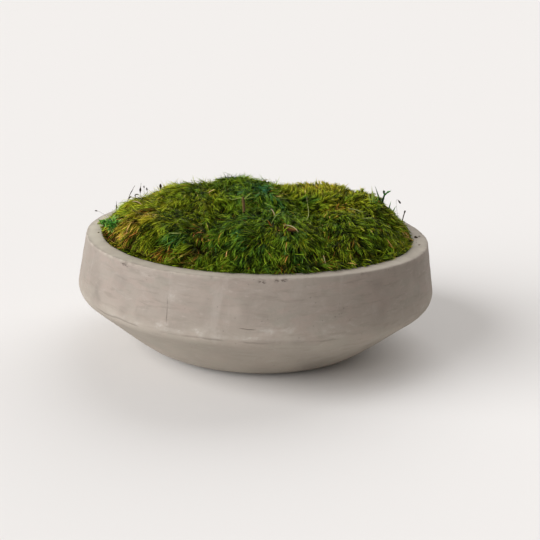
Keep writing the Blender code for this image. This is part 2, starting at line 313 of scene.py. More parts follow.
def bowl_section():
    """The section as (radius, height) points, from the middle of the floor to the middle of the foot.

    Each arc and line is given the number of its points last: close together where the bowl is looked at.
    """
    rim_in, rim_out = np.array([INNER_RADIUS, HEIGHT]), np.array([RIM_RADIUS, HEIGHT])
    axis_in, axis_out = np.array([0.0, FLOOR_CORNER[1]]), np.array([0.0, 0.0])
    inner = arc(INNER_SHOULDER, FLOOR_CORNER, rim_in, INNER_ROUND, 6)
    lip_in = arc(rim_in, INNER_SHOULDER, rim_out, RIM_ROUND, 7)
    lip_out = arc(rim_out, rim_in, SHOULDER, RIM_ROUND, 7)
    shoulder = arc(SHOULDER, rim_out, FOOT, SHOULDER_ROUND, 12)
    foot = arc(FOOT, SHOULDER, axis_out, FOOT_ROUND, 14)
    parts = [axis_in[None], line(axis_in, FLOOR_CORNER, 3), FLOOR_CORNER[None]]
    parts += [line(FLOOR_CORNER, inner[0], 4), inner, line(inner[-1], lip_in[0], 12)]
    parts += [lip_in, line(lip_in[-1], lip_out[0], 7), lip_out, line(lip_out[-1], shoulder[0], 26)]
    parts += [shoulder, line(shoulder[-1], foot[0], 18), foot, line(foot[-1], axis_out, 5), axis_out[None]]
    return np.concatenate(parts)


section = bowl_section()
print("section:", len(section), "points, widest", round(float(section[:, 0].max()) * 2, 4), "m")

# %% [markdown]
# ### Hand-made unevenness
#
# A cast bowl is not quite round: it has shallow dents and swells where it was rubbed down, a rim that is a
# little higher on one side, and small chips along the outer edge of the rim. These are real shape, so they
# are pushed into the mesh along its normals, the rim's height upwards. Pits finer than the mesh come
# later, in the material.

# %% The bowl's surface
BOWL_STEPS = 720
# Swells and ripples: depth, size, how much flatter than wide, and the noise's number
BOWL_LAYERS = (
    (0.27 * MM, 75 * MM, 1.0, 3),
    (0.225 * MM, 34 * MM, 2.2, 4),
    (0.16 * MM, 11 * MM, 2.5, 5),
    (0.05 * MM, 3.5 * MM, 1.0, 6),
)
# The surface is set back a little, so that its swells stay within the solid; both fade out at the foot
BOWL_SETTLE = 0.25 * MM
FOOT_FADE = 6 * MM
# The rim is a little higher in front: by how much, in which direction, and over what width
RIM_WAVE = (3.4 * MM, math.radians(22), math.radians(42))
# Chips on the outer edge of the rim: direction in degrees from the front, length and depth in mm
CHIPS = (
    (-42.0, 6.0, 0.6),
    (-24.5, 6.0, 0.5),
    (2.6, 6.0, 0.6),
    (7.0, 5.0, 0.5),
    (9.4, 5.0, 0.6),
    (-12.0, 3.0, 0.5),
    (34.0, 4.0, 0.6),
    (96.0, 5.0, 0.9),
    (150.0, 6.0, 1.2),
    (171.0, 4.0, 0.9),
    (-118.0, 6.0, 1.0),
    (-160.0, 8.0, 1.1),
    (-78.0, 3.0, 0.8),
)
# A chip's border is this ragged, at this size; its middle lies below the rim's top; its floor is flat
CHIP_BORDER = (1.3, 1.8 * MM)
CHIP_REACH = 2.2 * MM
CHIP_LEVEL = 1.2 * MM
CHIP_FLOOR = 0.75


def turned_from(angle, middle):
    """How far angles are turned from a middle one, between minus half a turn and half a turn."""
    return (angle - middle + math.pi) % math.tau - math.pi


def rim_raise(angle):
    """How much higher the rim is in front: a soft bump, e to the power of minus (turn / width) squared."""
    return RIM_WAVE[0] * np.exp(-((turned_from(angle, RIM_WAVE[1]) / RIM_WAVE[2]) ** 2))


def section_normals(points):
    """Outward normals of the section: its direction of travel, turned a quarter to the left."""
    travel = unit(np.gradient(points, axis=0))
    return np.stack([-travel[:, 1], travel[:, 0]], axis=-1)


def chip_depth(angle, radius, height):
    """How deep the chips cut at places on the bowl: a dent with a ragged border, cut off sharply there."""
    depth = np.zeros_like(angle)
    spot = np.stack([angle * RIM_RADIUS, radius, height], axis=-1)
    ragged = 1.0 + CHIP_BORDER[0] * noise(spot, CHIP_BORDER[1], 7)
    down = np.hypot(height - HEIGHT + CHIP_LEVEL, radius - RIM_RADIUS) / CHIP_REACH
    for degrees, length, cut in CHIPS:
        along = turned_from(angle, math.radians(degrees)) * RIM_RADIUS / (length * MM / 2)
        depth = np.maximum(depth, cut * MM * np.clip(ragged - along**2 - down**2, 0, CHIP_FLOOR))
    return depth


def bowl_surface():
    """The bowl's grid: the section turned round, with swells, ripples and chips along its normals."""
    turn = np.arange(BOWL_STEPS) * math.tau / BOWL_STEPS
    radius = np.broadcast_to(section[1:-1, 0][:, None], (len(section) - 2, BOWL_STEPS))
    height = np.broadcast_to(section[1:-1, 1][:, None], radius.shape)
    angle = np.broadcast_to(turn[None], radius.shape)
    normal = section_normals(section)[1:-1]
    spot = np.stack([radius * np.sin(angle), -radius * np.cos(angle), height], axis=-1)
    out = np.stack([
        normal[:, None, 0] * np.sin(angle),
        -normal[:, None, 0] * np.cos(angle),
        np.broadcast_to(normal[:, None, 1], radius.shape),
    ], axis=-1)
    push = sum(deep * noise(spot * [1, 1, flat], size, seed) for deep, size, flat, seed in BOWL_LAYERS)
    push = (push - BOWL_SETTLE) * np.clip(height / FOOT_FADE, 0, 1) - chip_depth(angle, radius, height)
    spot[..., 2] += rim_raise(angle) * np.clip((height - SHOULDER[1]) / (HEIGHT - SHOULDER[1]), 0, 1)
    return spot + out * push[..., None], angle, radius, height


surface, bowl_angle, bowl_radius, bowl_height = bowl_surface()
bowl_chips = chip_depth(bowl_angle, bowl_radius, bowl_height)
print("deepest chip:", round(float(bowl_chips.max()) * 1000, 2), "mm")

# %% [markdown]
# ### Marks that follow the shape
#
# Chalky wear gathers where hands and sanding touch, just above the ridge of the shoulder and in patches on
# the wall. Pale dust lies on the rim's top and on the cone; the rim's left is made paler still as painted
# light where the moss shades it, its outer edge less pale as painted shade that dims the edge's highlight,
# and the cone's paleness is partly painted light on its dim underside. Some places are darker or paler; the
# darker ones on the left of the front are painted shade that tones down the window light there. The chips
# are darker where they cut deeper, as painted shade in their hollows. These marks depend on the place on the
# bowl, so they are worked out with the mesh, and stored as attributes that the concrete material reads.

# %% Marks on the bowl
# Dust on the rim, how much more lies at its sides, and how much more on its left and less on its right as
# painted light; heights between which it sets in
RIM_DUST, RIM_DUST_SIDES, RIM_LEFT_PAINTED_LIGHT = 0.36, 0.30, 0.20
RIM_TOP = (HEIGHT - 2.2 * MM, HEIGHT - 0.4 * MM)
# Width of the rim's outer edge, which is painted less pale as painted shade that dims its highlight
RIM_EDGE_SHADE_WIDTH = 2.5 * MM
# Dust on the outside, partly painted light that makes the dim cone paler, and the heights between which it
# sets in
CONE_DUST_AND_LIGHT = 0.26
CONE_TOP = (84 * MM, 46 * MM)
PATCH_CHALK, RIDGE_CHALK = 0.45, 0.12
RIDGE_LEVEL, RIDGE_WIDTH = 62.5 * MM, 2 * MM
# Depths of a chip between which it turns dark as painted shade in its hollow, and how dark
CHIP_SHADE_DEPTHS = (0.2 * MM, 0.7 * MM, 0.6)
# Chalky patches: direction in degrees from the front, height, half width and half height in mm, strength
CHALK = (
    (-15.0, 65.0, 8.0, 3.0, 0.9),
    (-10.0, 66.5, 5.0, 4.0, 0.4),
    (4.5, 70.0, 9.0, 4.0, 0.8),
    (10.0, 71.5, 10.0, 4.0, 0.7),
    (0.0, 63.5, 14.0, 1.5, 0.6),
    (-38.0, 62.0, 14.0, 3.0, 0.5),
    (-26.0, 66.0, 9.0, 3.0, 0.7),
    (-20.5, 64.0, 6.0, 2.0, 0.6),
    (22.0, 69.0, 16.0, 4.0, 0.35),
    (-24.0, 94.0, 7.0, 8.0, 0.35),
    (110.0, 66.0, 25.0, 5.0, 0.6),
    (165.0, 68.0, 18.0, 4.0, 0.8),
    (-130.0, 66.0, 30.0, 4.0, 0.6),
    (-95.0, 64.0, 12.0, 3.0, 0.5),
    (65.0, 65.0, 14.0, 3.0, 0.4),
)
# Darker and paler places: the same, with a strength above 0 where darker and below 0 where paler; the
# darker ones on the left of the front are painted shade that tones down the window light there
SHADE_AND_TONE_PATCHES = (
    (-25.0, 66.0, 26.0, 6.0, 0.8),
    (-43.0, 89.0, 12.0, 20.0, 0.6),
    (-55.0, 72.0, 14.0, 12.0, 0.8),
    (-38.0, 68.0, 16.0, 7.0, 0.8),
    (-15.0, 95.0, 14.0, 16.0, -0.4),
    (-5.0, 87.0, 12.0, 14.0, -0.6),
    (13.0, 97.0, 10.0, 12.0, 0.3),
    (22.0, 96.0, 11.0, 14.0, -0.5),
    (41.0, 74.0, 18.0, 12.0, 0.4),
    (39.0, 97.0, 14.0, 10.0, 0.5),
    (57.0, 90.0, 14.0, 14.0, -0.6),
    (9.0, 60.0, 26.0, 4.0, 0.8),
    (28.0, 22.0, 30.0, 13.0, 1.3),
    (-12.0, 35.0, 18.0, 8.0, -0.5),
    (-41.0, 22.0, 16.0, 10.0, -0.5),
    (95.0, 90.0, 20.0, 16.0, 0.6),
    (128.0, 74.0, 22.0, 14.0, -0.6),
    (150.0, 98.0, 16.0, 12.0, 0.5),
    (180.0, 80.0, 24.0, 18.0, 0.6),
    (-155.0, 92.0, 20.0, 14.0, -0.6),
    (-125.0, 78.0, 22.0, 16.0, 0.6),
    (-90.0, 92.0, 18.0, 16.0, -0.4),
    (165.0, 30.0, 30.0, 12.0, 0.5),
    (-100.0, 32.0, 26.0, 12.0, 0.5),
)


def soft_step(value, low, high):
    """0 below low, 1 above high, and the curve 3t^2 - 2t^3 in between."""
    share = np.clip((value - low) / (high - low), 0, 1)
    return share * share * (3 - 2 * share)


def wall_patches(table, angle, height):
    """Each patch of a table: strength times e to the power of minus the squared shares of its half sizes."""
    for degrees, level, wide, tall, strength in table:
        across = turned_from(angle, math.radians(degrees)) * SHOULDER[0] / (wide * MM)
        up = (height - level * MM) / (tall * MM)
        yield strength * np.exp(-(across**2) - up**2)


def chalk_amount(angle, height, spot):
    """How chalky the concrete is: the strongest patch at each place, broken up by noise, and the ridge."""
    total = np.maximum.reduce([np.zeros_like(angle), *wall_patches(CHALK, angle, height)])
    total *= 0.45 + 0.9 * noise(spot * [1, 1, 2.0], 4 * MM, 11) + 0.6 * noise(spot, 1.8 * MM, 16)
    ridge = np.exp(-(((height - RIDGE_LEVEL) / RIDGE_WIDTH) ** 2))
    ridge = ridge * soft_step(noise(spot, 12 * MM, 12), -0.1, 0.7)
    return np.clip(PATCH_CHALK * np.maximum(total, 0) + RIDGE_CHALK * ridge, 0, 1)


def dust_light_shade_amount(angle, radius, height, spot):
    """How dusty the rim's top and the outside down to the cone are, with painted light on the rim's left and
    the cone, and painted shade at the rim's outer edge.
    """
    edge = np.exp(-(((radius - RIM_RADIUS) / RIM_EDGE_SHADE_WIDTH) ** 2)) * (1 + 0.5 * noise(spot, 3 * MM, 14))
    dust_light_shade = RIM_DUST + RIM_DUST_SIDES * np.sin(angle) ** 2 - RIM_LEFT_PAINTED_LIGHT * np.sin(angle)
    dust_light_shade = soft_step(height, *RIM_TOP) * dust_light_shade * (1 + 0.3 * noise(spot, 7 * MM, 13)) * (1 - 0.7 * edge)
    low = CONE_DUST_AND_LIGHT * soft_step(height, *CONE_TOP) * (1 + 0.25 * noise(spot, 20 * MM, 15))
    outside = np.cumsum(radius[:, :1] > RIM_RADIUS - 1 * MM, axis=0) > 0
    return np.clip(dust_light_shade + low * outside, 0, 1)


def shade_and_tone_amount(angle, height, spot):
    """How much darker (above 0) or paler (below 0) the listed places make the concrete, broken up by noise;
    the darker ones on the left of the front are painted shade.
    """
    return np.clip(sum(wall_patches(SHADE_AND_TONE_PATCHES, angle, height)) * (0.8 + 0.7 * noise(spot, 9 * MM, 17)), -1, 1)


def add_attribute(piece, name, values):
    """Store one number for each corner of the mesh."""
    layer = piece.data.attributes.new(name, "FLOAT", "POINT")
    layer.data.foreach_set("value", np.asarray(values, dtype=np.float32).ravel())


# %% [markdown]
# ### The concrete
#
# Cast concrete is warm grey, and no two places are quite the same: broad pale and dark clouds, tinted
# patches, level streaks from the mould, upright rubs, fine sand grain, and tiny pits from air bubbles. Each
# is one noise texture at its own scale, on the object's coordinates, mixed into the colour in turn. The
# marks worked out before, a few fine cracks and a broken line of painted shade along the ridge lie over
# them. The pits, the cracks, the ridge line and the grain also drive a small bump, because they are finer
# than the mesh.

# %% Concrete material


class Shading:
    """Short words for making nodes, so that a material reads as a list of steps."""

    def __init__(self, name, roughness, specular):
        """A new material, with the values that are the same all over it."""
        self.material = bpy.data.materials.new(name)
        self.material.use_nodes = True
        self.nodes = self.material.node_tree.nodes
        self.links = self.material.node_tree.links
        self.shader = self.nodes["Principled BSDF"]
        self.feed(self.shader, {"Roughness": roughness, "Specular IOR Level": specular})

    def feed(self, node, values):
        """Give each named input a plain value, or link another node's output to it."""
        for name, value in values.items():
            if isinstance(value, bpy.types.NodeSocket):
                self.links.new(value, node.inputs[name])
            else:
                node.inputs[name].default_value = value

    def node(self, kind, values, **settings):
        """A new node of a kind, with its settings and its inputs."""
        node = self.nodes.new("ShaderNode" + kind)
        for name, setting in settings.items():
            setattr(node, name, setting)
        self.feed(node, values)
        return node

    def place(self, scale=(1.0, 1.0, 1.0)):
        """Object coordinates, stretched along the axes."""
        where = self.node("TexCoord", {}).outputs["Object"]
        return self.node("Mapping", {"Vector": where, "Scale": scale}).outputs["Vector"]

    def noise(self, where, scale, detail=3.0, rough=0.55, distortion=0.0):
        """Blender's noise texture, as a number from 0 to 1."""
        values = {"Scale": scale, "Detail": detail, "Roughness": rough, "Distortion": distortion}
        return self.node("TexNoise", {"Vector": where, **values}).outputs["Fac"]

    def spots(self, where, scale):
        """Distance to the nearest of many scattered spots."""
        return self.node("TexVoronoi", {"Vector": where, "Scale": scale}).outputs["Distance"]

    def apart(self, where):
        """The three coordinates of a place."""
        node = self.node("SeparateXYZ", {"Vector": where})
        return [node.outputs[name] for name in "XYZ"]

    def steps(self, value, low, high, start=0.0, end=1.0):
        """Map a range of values smoothly onto another, and hold it at both ends."""
        values = {"Value": value, "From Min": low, "From Max": high, "To Min": start, "To Max": end}
        return self.node("MapRange", values, interpolation_type="SMOOTHSTEP").outputs["Result"]

    def maths(self, operation, first, second=0.5):
        """One arithmetic step."""
        return self.node("Math", {0: first, 1: second}, operation=operation).outputs["Value"]

    def mix(self, share, first, second, way="MIX"):
        """Blend two colours."""
        values = {"Factor": share, "A": first, "B": second}
        return self.node("Mix", values, data_type="RGBA", blend_type=way).outputs["Result"]

    def ramp(self, share, stops):
        """A colour ramp from (position, colour) stops."""
        node = self.node("ValToRGB", {"Fac": share})
        elements = node.color_ramp.elements
        while len(elements) < len(stops):
            elements.new(0.5)
        for element, (position, colour) in zip(elements, stops):
            element.position = position
            element.color = (*colour, 1.0)
        return node.outputs["Color"]

    def attribute(self, name):
        """A number stored on the mesh."""
        return self.node("Attribute", {}, attribute_name=name).outputs["Fac"]

    def bump(self, height, distance, strength):
        """Turn a height into a change of normal, and use it."""
        node = self.node("Bump", {"Height": height, "Distance": distance, "Strength": strength})
        self.feed(self.shader, {"Normal": node.outputs["Normal"]})

    def colour(self, value):
        """Use a colour, and hand over the finished material."""
        self.feed(self.shader, {"Base Color": value})
        return self.material


CLOUDS = ((0.258, 0.221, 0.188, 1.0), (0.306, 0.266, 0.229, 1.0))
# Noise textures, as scale, detail, roughness and distortion; the pits are spots where a patchy noise is high
CLOUD_NOISE = (9.0, 4.0, 0.6, 0.6)
GRAIN = (420.0, 3.0, 0.7)
SPECKS = (230.0, 3.0, 0.7)
PITS, PIT_PATCHES = 210.0, (40.0, 2.0)
# Layers over the clouds: stretch upwards, scale, detail, roughness and distortion of the noise, the range
# of it that is mapped, the layer's share at both ends of that range, and its colour
LAYERS = (
    (2.6, 19.0, 3.0, 0.60, 1.2, 0.46, 0.60, 0.00, 0.55, (0.312, 0.255, 0.219, 1.0)),
    (2.6, 27.0, 3.0, 0.60, 0.8, 0.50, 0.66, 0.00, 0.50, (0.262, 0.243, 0.204, 1.0)),
    (2.6, 62.0, 4.0, 0.65, 0.8, 0.54, 0.74, 0.00, 0.65, (0.350, 0.309, 0.270, 1.0)),
    (6.0, 40.0, 4.0, 0.60, 0.4, 0.52, 0.70, 0.00, 0.60, (0.222, 0.190, 0.160, 1.0)),
    (0.35, 48.0, 4.0, 0.65, 0.5, 0.56, 0.74, 0.00, 0.45, (0.360, 0.322, 0.285, 1.0)),
    (0.35, 48.0, 4.0, 0.65, 0.5, 0.28, 0.44, 0.40, 0.00, (0.205, 0.174, 0.148, 1.0)),
    (1.0, *GRAIN, 0.0, 0.30, 0.70, 0.00, 0.16, (0.22, 0.19, 0.16, 1.0)),
)
# Colours of the marks, painted shade and painted light among them; pits and cracks let some of the concrete
# show
DARKER_AND_SHADED, PALER_TONE = (0.155, 0.130, 0.112, 1.0), (0.400, 0.352, 0.305, 1.0)
CHALK_WHITE, DUST_LIGHT_SHADE_GREY = (0.56, 0.53, 0.49, 1.0), (0.56, 0.515, 0.425, 1.0)
CHIP_SHADE_DARK, PIT_DARK = (0.10, 0.075, 0.06, 1.0), (0.16, 0.13, 0.11, 1.0)
CRACK_AND_RIDGE_SHADE_DARK = (0.075, 0.058, 0.046, 1.0)
PIT_SHARE, CRACK_SHARE = 0.55, 0.72
BUMP_HEIGHT, BUMP_STRENGTH, GRAIN_BUMP = 0.4 * MM, 0.55, 0.25


def concrete_material():
    """Warm grey concrete: clouds, layers, then darker and paler places, chalk, dusting, chips, pits and
    cracks, some of it painted light and shade.
    """
    mix = Shading("cast_concrete", roughness=0.82, specular=0.3)
    place = mix.place()
    base = mix.mix(mix.steps(mix.noise(place, *CLOUD_NOISE), 0.34, 0.66), *CLOUDS)
    for stretch, scale, detail, rough, twist, low, high, start, end, colour in LAYERS:
        pattern = mix.noise(mix.place((1.0, 1.0, stretch)), scale, detail, rough, twist)
        base = mix.mix(mix.steps(pattern, low, high, start, end), base, colour)
    pits = mix.steps(mix.spots(place, PITS), 0.06, 0.17, 1.0, 0.0)
    pits = mix.maths("MULTIPLY", pits, mix.steps(mix.noise(place, *PIT_PATCHES), 0.52, 0.66))
    specks = mix.steps(mix.noise(mix.place((1.0, 1.0, 2.6)), *SPECKS), 0.38, 0.62, 0.55, 1.25)
    cracks, shade_and_tone = cracks_and_ridge_shade(mix, place), mix.attribute("shade_and_tone")
    marks = (
        # Darker places, those on the left of the front being painted shade, and paler places
        (mix.steps(shade_and_tone, 0.0, 1.0, 0.0, 0.65), DARKER_AND_SHADED),
        (mix.steps(shade_and_tone, -1.0, 0.0, 0.45, 0.0), PALER_TONE),
        (mix.maths("MULTIPLY", mix.attribute("chalk"), specks), CHALK_WHITE),
        # Dust, with painted light on the rim's left and the cone, and painted shade at the rim's outer edge
        (mix.attribute("dust_light_shade"), DUST_LIGHT_SHADE_GREY),
        # Chips, darkened as painted shade in their hollows
        (mix.attribute("dark"), CHIP_SHADE_DARK),
        (mix.maths("MULTIPLY", pits, PIT_SHARE), PIT_DARK),
        # Cracks and nicks, and the ridge line, which is painted shade
        (mix.maths("MULTIPLY", cracks, CRACK_SHARE), CRACK_AND_RIDGE_SHADE_DARK),
    )
    for share, colour in marks:
        base = mix.mix(share, base, colour)
    grain = mix.maths("MULTIPLY", mix.noise(place, *GRAIN), GRAIN_BUMP)
    mix.bump(mix.maths("SUBTRACT", grain, mix.maths("MAXIMUM", pits, cracks)), BUMP_HEIGHT, BUMP_STRENGTH)
    return mix.colour(base)


# Fine marks on the front, in metres: sideways place, half width, height and half height
HAIR_CRACK = (-0.0738, 0.00035, 0.0805, 0.0115)
SCRATCH = (-0.0035, 0.0070, 0.0716, 0.00030)
NICKS = (
    (-0.1150, 0.0040, 0.1088, 0.0012),
    (0.0078, 0.0034, 0.1115, 0.0012),
    (0.0235, 0.0056, 0.1130, 0.0011),
)
# The line of painted shade along the ridge: height and half height; then how far all marks wander from
# straight
RIDGE_SHADE_LINE = (0.0600, 0.0009)
WANDER = 3.5 * MM
# Only places this far to the front carry them; textures that bend them and break them up
FRONT = (-0.02, -0.01)
BENDS, BREAKS, PATCHES, CRUMBLES = (55.0, 2.0), (120.0, 2.0), (26.0, 3.0), (520.0, 2.0, 0.6)


def cracks_and_ridge_shade(mix, place):
    """A hair crack down the left of the front, a level scratch, a broken line of painted shade along the
    ridge, and nicks.

    Each is a thin band about a plane: 1 where a coordinate, shifted by noise, is within a few tenths of a
    millimetre of the plane's, and 0 elsewhere.
    """
    across, depth, up = mix.apart(place)
    front = mix.steps(depth, *FRONT, 1.0, 0.0)
    wander = mix.maths("MULTIPLY", mix.maths("SUBTRACT", mix.noise(place, *BENDS), 0.5), WANDER)

    def band(coordinate, middle, half):
        """1 within half a width of the middle, softly 0 outside."""
        off = mix.maths("ABSOLUTE", mix.maths("SUBTRACT", mix.maths("ADD", coordinate, wander), middle))
        return mix.steps(off, 0.5 * half, 1.3 * half, 1.0, 0.0)

    def all_of(*shares):
        """All shares multiplied."""
        total = shares[0]
        for share in shares[1:]:
            total = mix.maths("MULTIPLY", total, share)
        return total

    def mark(row, *shares):
        """A mark on the front: a band to the side, a band in height, and whatever breaks it up."""
        return all_of(band(across, *row[:2]), band(up, *row[2:]), front, *shares)

    broken = mix.steps(mix.noise(place, *BREAKS), 0.34, 0.50, 0.15, 0.80)
    patchy = mix.steps(mix.noise(place, *PATCHES), 0.44, 0.60, 0.0, 0.45)
    crumbly = mix.steps(mix.noise(mix.place((1.0, 1.0, 1.5)), *CRUMBLES), 0.46, 0.54)
    # The ridge line is painted shade where the shoulder turns from the band to the cone
    total = all_of(band(up, *RIDGE_SHADE_LINE), patchy)
    for share in (mark(HAIR_CRACK, broken), mark(SCRATCH), *(mark(row, crumbly) for row in NICKS)):
        total = mix.maths("MAXIMUM", total, share)
    return total


CONCRETE = concrete_material()

# %% Put the bowl together


def bowl():
    """The bowl's mesh: the turned grid, closed by one corner on the axis at each end."""
    points = np.concatenate([surface.reshape(-1, 3), [[0, 0, section[0, 1]], [0, 0, 0]]])
    faces = face_arrays(*ring_faces(surface.shape[0], BOWL_STEPS, flip=True))
    piece = new_piece("bowl_cast", points, *faces, CONCRETE, "concrete")
    marks = {
        "chalk": chalk_amount(bowl_angle, bowl_height, surface),
        "dust_light_shade": dust_light_shade_amount(bowl_angle, bowl_radius, bowl_height, surface),
        "shade_and_tone": shade_and_tone_amount(bowl_angle, bowl_height, surface),
        # Chips turn darker with depth, as painted shade in their hollows
        "dark": soft_step(bowl_chips, *CHIP_SHADE_DEPTHS[:2]) * CHIP_SHADE_DEPTHS[2],
    }
    for name, amount in marks.items():
        add_attribute(piece, name, np.append(amount.ravel(), [0, 0]))
    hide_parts("bowl")


bowl()

# %% [markdown]
# ## The soil
#
# Under the moss the bowl is filled with dark potting soil. Hardly any of it can be seen, but it is there
# between the cushions. Its top is a lumpy surface worked out on rings, and its sides follow the hollow.

# %% Soil
SOIL_TOP = HEIGHT - 30 * MM
SOIL_STEPS = 180
SOIL_RINGS = 34
SOIL_GAP = 1.2 * MM
# Lumps: depth in mm, size, and the noise's number; then how far the top is set down, in mm
SOIL_LUMPS = ((1.1, 9 * MM, 21), (0.6, 3.5 * MM, 22))
SOIL_SETTLE = 1.6
# Below its top the soil goes down the hollow: radius and height of each ring
SOIL_SIDES = np.array([
    (INNER_SHOULDER[0] - 1.6 * MM, 66 * MM),
    (INNER_SHOULDER[0] - 4 * MM, 58 * MM),
    (FLOOR_CORNER[0] - 1 * MM, FLOOR_CORNER[1] + 1 * MM),
])


def soil_material():
    """Dark crumbly soil with paler specks."""
    mix = Shading("potting_soil", roughness=0.95, specular=0.2)
    place = mix.place()
    crumbs = mix.noise(place, 160.0, 5.0, 0.7)
    browns = ((0.3, (0.018, 0.011, 0.007)), (0.6, (0.075, 0.047, 0.030)), (0.8, (0.16, 0.11, 0.07)))
    base = mix.ramp(crumbs, browns)
    mix.bump(crumbs, 1.2 * MM, 0.8)
    return mix.colour(base)


def soil():
    """The fill: rings of the hollow's section, with lumps on the rings of the top."""
    down = (HEIGHT - SOIL_TOP) / (HEIGHT - INNER_SHOULDER[1])
    brim = INNER_RADIUS + (INNER_SHOULDER[0] - INNER_RADIUS) * down - SOIL_GAP
    top = np.stack([np.linspace(0.04, 1.0, SOIL_RINGS) * brim, np.full(SOIL_RINGS, SOIL_TOP)], axis=-1)
    rings = np.concatenate([top, SOIL_SIDES])
    turn = np.arange(SOIL_STEPS) * math.tau / SOIL_STEPS
    grid = np.stack([
        rings[:, None, 0] * np.cos(turn),
        rings[:, None, 0] * np.sin(turn),
        np.broadcast_to(rings[:, None, 1], (len(rings), SOIL_STEPS)),
    ], axis=-1)
    lumps = sum(deep * noise(grid, size, seed) for deep, size, seed in SOIL_LUMPS) - SOIL_SETTLE
    grid[:SOIL_RINGS, :, 2] += lumps[:SOIL_RINGS] * MM
    ends = [[0, 0, SOIL_TOP - 1.5 * MM], [0, 0, rings[-1, 1]]]
    points = np.concatenate([grid.reshape(-1, 3), ends])
    faces = face_arrays(*ring_faces(len(rings), SOIL_STEPS, flip=True))
    piece = new_piece("soil_fill", points, *faces, soil_material(), "soil")
    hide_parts("soil_bed")


soil()

# %% [markdown]
# ## The moss surface
#
# The cushions were lifted from the ground as pads and pressed together in the bowl. Each is a low dome;
# where two meet there is a seam, and at the wall the moss rolls down behind the rim. The solids use the
# same surface, so the sizes here repeat theirs. Deeper hollows and slightly raised tufts are added, which
# only the leaves show.

# %% Heights of the moss
MOSS_RADIUS = INNER_RADIUS - 1 * MM
MOSS_EDGE = HEIGHT + 0.5 * MM
# Depth of the seams; how far a dome falls over its spread; how softly two domes join
SEAM = 6 * MM
FALL = 30 * MM
SPREAD = 95 * MM
BLEND = 5 * MM
# Fall at the wall: its power, its bluntness, how much that changes round the bowl, and where it is most
WALL_POWER = 7
WALL_BLUNT = (0.75, 0.20, 0.35)
# Each cushion's middle, in millimetres, and how far its top stands above the rim
CUSHIONS = {
    "moss_front_left": (-98, -80, 35),
    "moss_left": (-82, 8, 40),
    "moss_top": (-16, 10, 48),
    "moss_front": (10, -88, 38),
    "moss_right": (103, -66, 38),
    "moss_far_right": (118, 20, 43),
    "moss_back_right": (60, 40, 41),
    "moss_back_left": (-80, 92, 30),
    "moss_back": (18, 112, 24),
}
NAMES = list(CUSHIONS)
MIDDLES = np.array([CUSHIONS[name][:2] for name in NAMES]) * MM
TOPS = np.array([CUSHIONS[name][2] for name in NAMES]) * MM
# Hollows and tufts in the leaves: middle, width and height, in millimetres
DENTS = (
    (3, -78, 11, -6),
    (22, -100, 7, -4),
    (63, -95, 8, -11),
    (57, -54, 14, -6),
    (101, -44, 13, -7),
    (52, -126, 7, -5),
    (-60, -84, 8, -4),
    (-48, -116, 6, -4),
    (-12, 22, 16, 1),
    (-14, -8, 14, -2),
    (-118, 34, 28, -9),
    (-96, -8, 18, -4),
    (-128, -15, 14, -4),
    (60, 66, 18, 1),
    (128, 14, 14, -4),
    (-139, -50, 11, -5),
    (-35, 95, 8, -6),
    (85, 90, 9, -6),
    (-118, 48, 8, -5),
)


def seam_share(x, y):
    """How near a place is to a seam: 0 in the middle of its cushion, 1 halfway to a neighbour."""
    place = np.stack([x, y], axis=-1)
    own = MIDDLES[owner(x, y)]
    apart = MIDDLES - own[..., None, :]
    squared = np.sum(apart**2, axis=-1)
    squared[squared == 0] = np.inf
    shares = 2 * np.sum((place - own)[..., None, :] * apart, axis=-1) / squared
    return np.clip(shares.max(axis=-1), 0, 1)


def owner(x, y):
    """Which cushion a place belongs to: the one whose middle is nearest."""
    place = np.stack([x, y], axis=-1)
    return np.argmin(np.linalg.norm(place[..., None, :] - MIDDLES, axis=-1), axis=-1)


def wall_share(x, y):
    """How much of its height the moss keeps: 1 in the middle, 0 at the wall.

    It is (1 - (radius / the moss's radius) ^ WALL_POWER) to the power of the bluntness.
    """
    bluntness = WALL_BLUNT[0] + WALL_BLUNT[1] * np.cos(np.arctan2(y, x) - WALL_BLUNT[2])
    outward = np.clip(np.hypot(x, y) / MOSS_RADIUS, 0.0, 0.9995)
    return (1.0 - outward**WALL_POWER) ** bluntness


def moss_height(x, y, dents=DENTS):
    """Height of the tips of the moss: softly joined domes, less the seams, faded out at the wall."""
    away = ((x[..., None] - MIDDLES[:, 0]) ** 2 + (y[..., None] - MIDDLES[:, 1]) ** 2) / SPREAD**2
    domes = BLEND * np.log(np.exp((TOPS - FALL * away) / BLEND).sum(axis=-1))
    rise = HEIGHT - MOSS_EDGE + domes - SEAM * seam_share(x, y) ** 6
    for middle_x, middle_y, width, high in dents:
        off = ((x - middle_x * MM) ** 2 + (y - middle_y * MM) ** 2) / (width * MM) ** 2
        rise = rise + high * MM * np.exp(-off)
    return MOSS_EDGE + rise * wall_share(x, y)


def moss_slope(x, y, step=1.0 * MM):
    """How steeply the moss rises along x and along y, from heights a step to each side."""
    along_x = (moss_height(x + step, y) - moss_height(x - step, y)) / (2 * step)
    along_y = (moss_height(x, y + step) - moss_height(x, y - step)) / (2 * step)
    return along_x, along_y


print("highest moss:", round(float(moss_height(MIDDLES[:, 0], MIDDLES[:, 1]).max()), 4), "m")

# %% [markdown]
# ## Where the shoots stand
#
# A shoot of this moss is a stem a few centimetres long, wrapped in narrow curved leaves. Only the last
# centimetre is green and in the light. The shoots stand a few millimetres apart, measured along the
# surface and not on the plan, or the steep sides near the wall would go bald. So the places are spread on
# rings whose spacing is measured up the slope. Two more rings, the skirt, close the gap along the wall.

# %% Places of the shoots
SHOOT_SPACING = 3.45 * MM
SKIRT_SPACING = 3.2 * MM
SKIRT_BAND = 3.2 * MM
SKIRT_RINGS = (0.8 * MM, 2.6 * MM)
